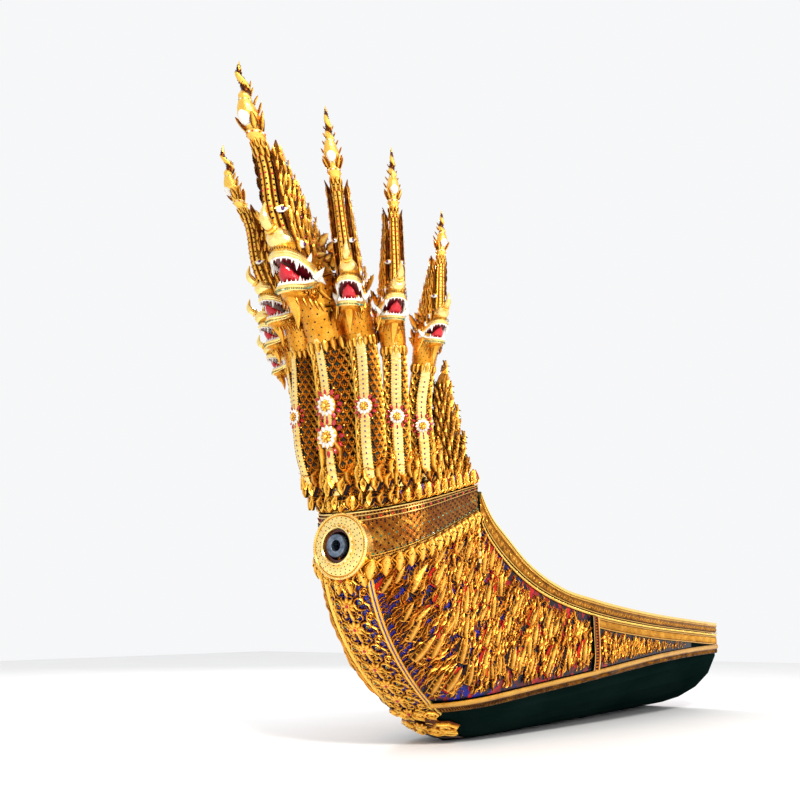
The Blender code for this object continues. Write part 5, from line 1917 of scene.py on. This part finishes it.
def add_mouth(head):
    """Palate, tongue, lips, gums, teeth and tusks."""
    for shape, finish in ((THROAT, MOUTH), (PALATE, MOUTH), (MOUTH_FLOOR, MOUTH), (TONGUE_BODY, TONGUE)):
        head.body(bulk(shape, 16, 0.9), finish)
    for points, down, gum in ((UPPER_LIP, -1.0, 0.07), (LOWER_LIP, 1.0, 0.11)):
        line, out = lip_line(points, 14)
        head.body(rod(line + out * 0.04 + (0, 0, -down * 0.10), 0.12, 8), PALE)
        head.body(rod(line - out * 0.02 + (0, 0, -down * 0.26), 0.13, 8), PALE)
        head.body(rod(line - out * 0.01 + (0, 0, down * 0.05), gum, 6), TOOTH)
        line, out = lip_line(points, 11)
        sizes = np.full(len(line), 0.20)
        sizes[1::2] = 0.27
        middle = len(line) // 2
        sizes[[middle - 4, middle + 4]] = 0.58 if down < 0 else 0.42
        head.put(TOOTH_SHAPE, line + (0, 0, down * 0.06), (0, 0, down), out, sizes, TOOTH, 0.8)
        line, out = lip_line(points, 24)
        slits = line[6:-6] + out[6:-6] * 0.13 + (0, 0, 0.38 if down < 0 else -0.34)
        head.put(ALMOND, slits, (0.1, 0.2, 1.0), out[6:-6], 0.17, DARK if down < 0 else GREEN, 0.8)
    for hand in (-1, 1):
        tusks = (
            ((0.95, 0.96, 0.06), (-0.85, 0.25, -0.45), 0.75),
            ((1.55, 0.92, 0.72), (-0.15, 0.20, 1.0), 0.50),
            ((1.0, 0.95, -0.12), (-0.35, 0.55, 0.9), 0.85),
        )
        mirror = np.array([1, hand, 1])
        for foot, up, size in tusks:
            head.put(TOOTH_SHAPE, foot * mirror, up * mirror, (0.3, hand, 0), size, TOOTH)


def add_face(head):
    """Skull, jaw, nose, eyes, cheek scrolls and brow."""
    head.body(bulk(SKULL, 18, 0.85))
    head.body(bulk(JAW, 16, 0.85))
    snout = (
        (2.1, 1.2, 2.3, 0.62),
        (2.6, 1.12, 2.38, 0.70),
        (3.05, 1.14, 2.36, 0.64),
        (3.4, 1.25, 2.28, 0.50),
        (3.6, 1.45, 2.05, 0.22),
    )
    head.body(bulk(snout, 18, 1.0, 0.0), PALE)
    nose = smooth_path(((3.0, 0, 2.0), (3.6, 0, 2.12), (4.0, 0, 2.35), (4.2, 0, 2.75), (4.12, 0, 3.4)), 14)
    radii = np.interp(np.linspace(0, 1, 14), (0, 0.25, 0.5, 0.75, 1), (0.30, 0.24, 0.32, 0.17, 0.04))
    head.body(rod(nose, radii, 10, (0, 1, 0), 0.0), PALE)
    ring = arc((0.0, 0.0), 0.34, 0, 330, 12)
    band_path = np.stack([3.62 - 0.35 * ring[:, 1], ring[:, 0], 2.12 + ring[:, 1] * 0.9], -1)
    head.body(rod(band_path, 0.07, 6, (1, 0, 0.3)))
    for hand in (-1, 1):
        out = np.array([0.15, hand, 0.1])
        mirror = np.array([1, hand, 1])
        head.put(CURL, (3.18, hand * 0.42, 1.75), (0.2, 0, 1.0), (0.7, hand * 0.75, 0.1), 0.42)
        head.put(SMALL_BEAD, (3.22, hand * 0.42, 1.70), (0, 0, 1.0), (0.7, hand * 0.75, 0.1), 0.15, DARK)
        head.put(dome(0.5, 0.38, 14, 3), (2.02, hand * 0.76, 1.58), (0.15, 0, 1.0), out, 0.50, TOOTH, 1.1)
        head.put(dome(0.5, 0.40, 12, 3), (1.94, hand * 0.92, 1.58), (0, 0, 1.0), out, 0.25, PURPLE)
        lid = arc((0.0, 0.0), 0.34, 15, 165, 8)
        lid_path = np.stack([2.02 + lid[:, 0], np.full(8, hand * 0.84), 1.50 + lid[:, 1]], -1)
        head.body(rod(lid_path, 0.06, 6, (0, 1, 0)), PALE)
        plumes = (
            ((2.55, 0.66, 1.95), (-0.85, 0, 1.0), 0.95),
            ((2.05, 0.74, 2.05), (-1.0, 0, 0.9), 1.15),
            ((1.45, 0.82, 1.75), (-1.0, 0, 0.8), 1.25),
            ((1.0, 0.90, 1.25), (-1.0, 0, 0.45), 1.1),
            ((0.75, 0.92, 1.9), (-0.8, 0, 1.0), 1.35),
            ((0.25, 0.96, 1.2), (-1.0, 0, 0.7), 1.2),
            ((0.0, 0.92, 1.8), (-0.9, 0, 1.0), 1.3),
        )
        for foot, up, size in plumes:
            head.put(LAID_PLUME, foot * mirror, up, out, size, GOLD, 0.9)
            head.put(SMALL_BEAD, foot * mirror + out * 0.10, up, out, 0.13, TONGUE)
        for foot, size, turn in (
            ((-0.05, 1.03, -0.35), 2.3, 0.3),
            ((1.0, 0.86, -0.85), 0.9, 0.0),
            ((-0.6, 0.92, 1.0), 1.2, 0.8),
        ):
            head.put(SPIRAL, foot * mirror, (-math.sin(turn), 0, math.cos(turn)), out, size)
        for foot, size, turn in (
            ((1.5, 0.80, -1.0), 0.62, 0.2),
            ((0.6, 0.94, 0.62), 0.7, 0.4),
            ((1.45, 0.88, 1.1), 0.55, 0.2),
        ):
            head.put(ACANTHUS, foot * mirror, (-math.sin(turn), 0, math.cos(turn)), out, size * 0.8)
        for k in range(5):
            f = 0.35 + 0.4 * k
            r = float(np.interp(f, (0.0, 1.3, 2.3), (0.76, 0.70, 0.30)))
            foot = (f, hand * r, -1.12 - 0.06 * k)
            head.put(PLUME, foot, (-0.45, hand * 0.25, -1.0), (0.2, hand, 0), 0.66 - 0.05 * k, GOLD, 0.9)


def add_crest(head):
    """The pillar over the brow: ribs, a ring, a bulb that holds a gem, and a carved spire."""
    t = np.concatenate([np.linspace(0, 0.58, 14), np.linspace(0.59, 0.80, 24), np.linspace(0.81, 1.0, 30)])
    shares, lateral, fore = zip(*CREST_HALVES)

    def lateral_at(x):
        return np.interp(x, shares, lateral)

    def fore_at(x):
        return np.interp(x, shares, fore)

    turns = circle(28)
    rib = np.abs(np.sin(3.5 * turns)) ** 0.5
    groove = np.where(t < 0.58, 0.20, 0.0)[:, None] * (1 - rib)[None, :]
    twist = np.where(t > 0.79, 0.18, 0.0)[:, None] * np.cos(turns[None, :] - t[:, None] * 70)
    girth = 1 + twist - groove
    along, across = fore_at(t)[:, None] * np.cos(turns), lateral_at(t)[:, None] * np.sin(turns)
    shape = np.stack([along * girth, across * girth, 0 * girth], -1)
    # Painted shade in the grooves between the ribs and in the twist's hollows
    depth = np.clip(0.05 + 6 * groove + np.where(twist < -0.02, 0.8, 0.0), 0, 1)
    head.body(loft(head.crest(t)[:, None] + shape, depth))

    def round_crest(share, turns):
        """Places round the crest's skin at one share of its height, with their outward ways."""
        turns = np.asarray(turns, float)
        way = np.stack([np.cos(turns), np.sin(turns), 0 * turns], -1)
        return head.crest(np.full(len(turns), share)) + way * (fore_at(share), lateral_at(share), 0.0), way

    for share, finishes, size in (
        (0.607, (TOOTH, TONGUE), 0.13),
        (0.645, (GREEN, TOOTH), 0.10),
        (0.775, (TOOTH, GREEN), 0.09),
    ):
        feet, way = round_crest(share, circle(16))
        for k, finish in enumerate(finishes):
            head.put(SMALL_BEAD, feet[k::2], head.tilt(share), way[k::2], size, finish)
    for share, size, lean, count, phase in (
        (0.49, 0.62, 0.04, 9, 0.0),
        (0.535, 0.5, 0.10, 9, 0.5),
        (0.625, 0.9, 0.42, 7, 0.0),
    ):
        feet, way = round_crest(share, circle(count, phase))
        keep = way[:, 0] < (0.7 if share > 0.6 else 2.0)
        head.put(PLUME, feet[keep], head.tilt(share) + way[keep] * lean, way[keep], size, GOLD, 0.95)
    for share in (0.66, 0.71, 0.76, 0.81, 0.86):
        feet, way = round_crest(share, np.radians((115, 180, 245)))
        head.put(PLUME, feet, head.tilt(share) + way * 0.5, way, 1.75 - 1.6 * share)
    gem = head.crest(0.685, -0.34)
    head.put(dome(0.5, 0.42, 14, 4), gem, head.tilt(0.68), (1.0, 0, -0.05), 0.95, TOOTH, 0.75)
    for row, share in enumerate(np.linspace(0.05, 0.56, 17)):
        feet, way = round_crest(share, np.radians((-72, -24, 24, 72)))
        head.put(SMALL_BEAD, feet - way * 0.02, head.tilt(share), way, 0.16, DOTS[row % 3])
    for row, share in enumerate(np.linspace(0.80, 0.97, 12)):
        feet, way = round_crest(share, circle(5, row * 0.3))
        head.put(SMALL_BEAD, feet, head.tilt(share), way, 0.10, DARK)
    for hand in (-1, 1):
        way = np.array([0.62, hand * 0.78, 0.0])
        place = head.crest(0.20, 0.2) + np.array([0.28, hand * 0.62, 0.0])
        across = unit(np.cross(head.tilt(0.2), way)) * hand
        head.put(ALMOND, place - across * 0.36, across, way, 0.74, TOOTH, 1.15)
        head.put(dome(0.5, 0.42, 10, 3), place + way * 0.08, head.tilt(0.2), way, 0.24, PURPLE)
        head.put(ALMOND, place - across * 0.40 + way * 0.03, across, way, 0.28, DARK, 1.2)
        t = np.linspace(-1, 1, 8)[:, None]
        lid = place + across * 0.42 * t + (0, 0, 0.16) - t**2 * (0, 0, 0.14)
        head.body(rod(lid + way * 0.05, 0.05, 6, way))


def add_horns(head):
    """The two carved leaves that stand beside the crest, with spikes up their backs."""
    share = np.linspace(0.0, 0.58, 22)
    rows = (*zip(*HORN_HALVES), HORN_BACK, HORN_SIDE)
    lateral_at, fore_at, back_at, side_at = (curve(HORN_SHARES, row) for row in rows)
    turns = circle(14)
    for hand in (-1, 1):
        centre = head.crest(share, back_at(share), hand * side_at(share))
        fore, lateral = fore_at(share)[:, None], lateral_at(share)[:, None]
        shape = np.stack([fore * np.cos(turns), lateral * np.sin(turns), 0 * fore * turns], -1)
        # The core behind the flames is set deep: painted shade
        head.body(loft(centre[:, None] + shape, 0.75))
        out = np.array([0.0, hand, 0.0])
        for row, x in enumerate(np.linspace(-0.02, 0.49, 15)):
            rows_at = (back_at, side_at, lateral_at, fore_at)
            back, side, wide, deep = (float(row_at(max(x, 0.0))) for row_at in rows_at)
            columns = np.linspace(0.85, -0.75, 5 if deep > 0.8 else 3) - (0.17 if row % 2 else 0.0)
            bulge = wide * np.sqrt(np.clip(1 - columns**2, 0, 1))
            feet = head.crest(np.full(len(columns), x), back - columns * deep, hand * (side + bulge * 0.85))
            lean = rng.uniform(-0.25, 0.15, (len(columns), 1)) * (1, 0, 0)
            shape = FLAME if row % 2 else LAID_PLUME
            head.put(shape, feet, head.tilt(x) + out * 0.04 + lean, out, 0.42 + 0.34 * deep)
            inner = np.abs(columns) < 0.6
            beads = feet[inner] + out * 0.12 + (0, 0, 0.2)
            head.put(SMALL_BEAD, beads, head.tilt(x), out, 0.12, DOTS[row % 3])
            if row % 2 == 0:
                rim = head.crest(x, back + deep * 0.80, hand * side * 0.7)
                head.put(PLUME, rim, head.tilt(x) + (-0.28, hand * 0.05, 0), out, 0.75)
        tip = head.crest(0.47, float(back_at(0.47)) + 0.1, hand * 0.70)
        head.put(PLUME, tip, head.tilt(0.5) + (-0.10, hand * 0.14, 0), out, 1.05)
        for x in (0.16, 0.24, 0.32, 0.40, 0.47):
            front = head.crest(x, 0.18, hand * 0.52)
            head.put(PLUME, front, head.tilt(x) + (-0.12, hand * 0.08, 0), (0.5, hand, 0), 0.85, GOLD, 0.8)
    for x in (0.02, 0.09, 0.16, 0.23, 0.30, 0.37):
        end = x + 0.12
        foot = head.crest(x, 0.85 * float(back_at(x)))
        tip = head.crest(end, float(back_at(end)) + float(fore_at(end)) + 0.40)
        size = np.linalg.norm(tip - foot)
        head.put(PLUME, foot, tip - foot, (0, 1.0, 0), size)
        head.put(PLUME, foot + (0, 0.1, 0), tip - foot, (1.0, 0, 0), size * 0.9, GOLD, 0.6)


def add_mane(head, neck):
    """A smooth dotted throat, flames laid against the nape, a beard and two ears."""
    low, high = neck.high - 2.7 * neck.unit, neck.high + 0.3 * neck.unit
    z, turns = np.linspace(low, high, 16), circle(28)
    swell = 0.006 + 0.012 * np.clip((z - low) / (high - low), 0, 1)
    head.heap.take(loft(neck.at(z[:, None], turns[None, :], swell[:, None])[0], deep=0.35), GOLD, True)
    for k, row in enumerate(np.linspace(low + 0.01, high - 0.02, 9)):
        spots = circle(14) + 0.22 * (k % 2)
        out = float(np.interp(row, z, swell)) - 0.0005
        neck.wrap(head.heap, SMALL_BEAD, row, spots, 0.11 * neck.unit, out, DARK)
    spots = circle(16)
    neck.wrap(head.heap, LEAF, low + 0.1 * neck.unit, spots, 0.75 * neck.unit, 0.003, GOLD, 1.2, True)
    for level, count, size, lean in ((-2.2, 7, 1.3, 0.10), (-1.3, 7, 1.4, 0.20), (-0.4, 7, 1.5, 0.32)):
        turns = np.radians(np.linspace(105, 255, count))
        way = np.stack([np.cos(turns), np.sin(turns), 0 * turns], -1)
        feet = way * 1.08 + (0.02 * level, 0.0, level)
        head.put(LAID_PLUME, feet, way * lean + (-0.1, 0, 1.0), way, size, GOLD, 0.95)
    beard = smooth_path(((1.9, 0, -1.05), (1.55, 0, -1.5), (1.3, 0, -2.0), (1.15, 0, -2.8)), 10)
    radii = (0.30, 0.36, 0.36, 0.32, 0.28, 0.23, 0.18, 0.13, 0.08, 0.02)
    head.body(rod(beard, radii, 8, (0, 1, 0), 0.25))
    for hand in (-1, 1):
        out = np.array([0.2, hand, 0.0])
        head.put(PLUME, (-0.3, hand * 1.0, 1.0), (-0.35, hand * 0.35, 1.0), out, 1.7, GOLD, 0.9)
        head.put(PLUME, (-0.4, hand * 1.0, -0.6), (-0.7, hand * 0.25, 0.7), out, 1.3, GOLD, 0.9)


def carve_head(neck, name):
    heap = Heap()
    head = Head(neck, heap)
    add_face(head)
    add_mouth(head)
    add_crest(head)
    add_horns(head)
    add_mane(head, neck)
    materials = (GOLD, TOOTH, TONGUE, MOUTH, PALE, DARK, PURPLE, GREEN)
    heap.build(f"serpent_{name}", materials, replaces=(f"head_{name}",))


def serpents():
    yield NECKS[0], 1, "centre"
    for look in NECKS[1:]:
        for side, word in SIDES:
            yield look, side, f"{look[0]}_{word}"


carve_crown()
for look, side, name in serpents():
    carve_head(carve_neck(look, side, name), name)


# Floor, light and camera
def area_light(name, place, aim, size, power, colour=(1.0, 1.0, 1.0)):
    data = bpy.data.lights.new(name, "AREA")
    data.shape = "DISK"
    data.size = size
    data.energy = power
    data.color = colour
    made = bpy.data.objects.new(name, data)
    bpy.context.scene.collection.objects.link(made)
    made.location = place
    made.rotation_euler = (Vector(aim) - Vector(place)).to_track_quat("-Z", "Y").to_euler()


def add_floor():
    """The studio floor, just under the keel."""
    reach = np.linspace(-14.0, 14.0, 9)
    x, y = np.meshgrid(reach, reach, indexing="ij")
    verts, faces, _ = grid(np.stack([x + 1.0, y, np.full(x.shape, -0.002)], -1))
    look = Look("floor_plaster", roughness=0.7)
    look.set("colour", look.blend(look.noise(1.5), (0.86, 0.86, 0.86), (0.80, 0.80, 0.80)))
    mesh = bpy.data.meshes.new("floor")
    mesh.from_pydata((verts - ORIGIN).tolist(), [], faces[0].tolist())
    mesh.materials.append(look.bump(look.noise(8.0), 0.0005))
    floor = bpy.data.objects.new("floor", mesh)
    bpy.context.scene.collection.objects.link(floor)


CAMERA_PLACE = (-8.844, -3.374, 0.404)
CAMERA_AIM = (0.8065, 0.5440, 0.2318)
CAMERA_LENS = 41.93

add_floor()
area_light("key", (-9.0, -7.0, 7.5), (-4.0, 0.0, 1.2), 2.0, 1100.0, (1.0, 0.97, 0.92))
area_light("fill", (-2.0, -9.0, 3.0), (-3.5, 0.0, 0.8), 3.0, 150.0)
area_light("rim", (1.5, 6.0, 6.0), (-4.0, 0.0, 1.5), 2.0, 300.0)
world = bpy.data.worlds.new("studio")
world.use_nodes = True
background = world.node_tree.nodes["Background"].inputs
background["Color"].default_value = (0.985, 0.99, 1.0, 1.0)
background["Strength"].default_value = 0.94
bpy.context.scene.world = world
bpy.context.scene.view_settings.view_transform = "Standard"
lens = bpy.data.cameras.new("camera")
lens.sensor_width = 36.0
lens.lens = CAMERA_LENS
camera = bpy.data.objects.new("camera", lens)
camera.location = CAMERA_PLACE
camera.rotation_euler = Vector(CAMERA_AIM).to_track_quat("-Z", "Y").to_euler()
bpy.context.scene.collection.objects.link(camera)
bpy.context.scene.camera = camera
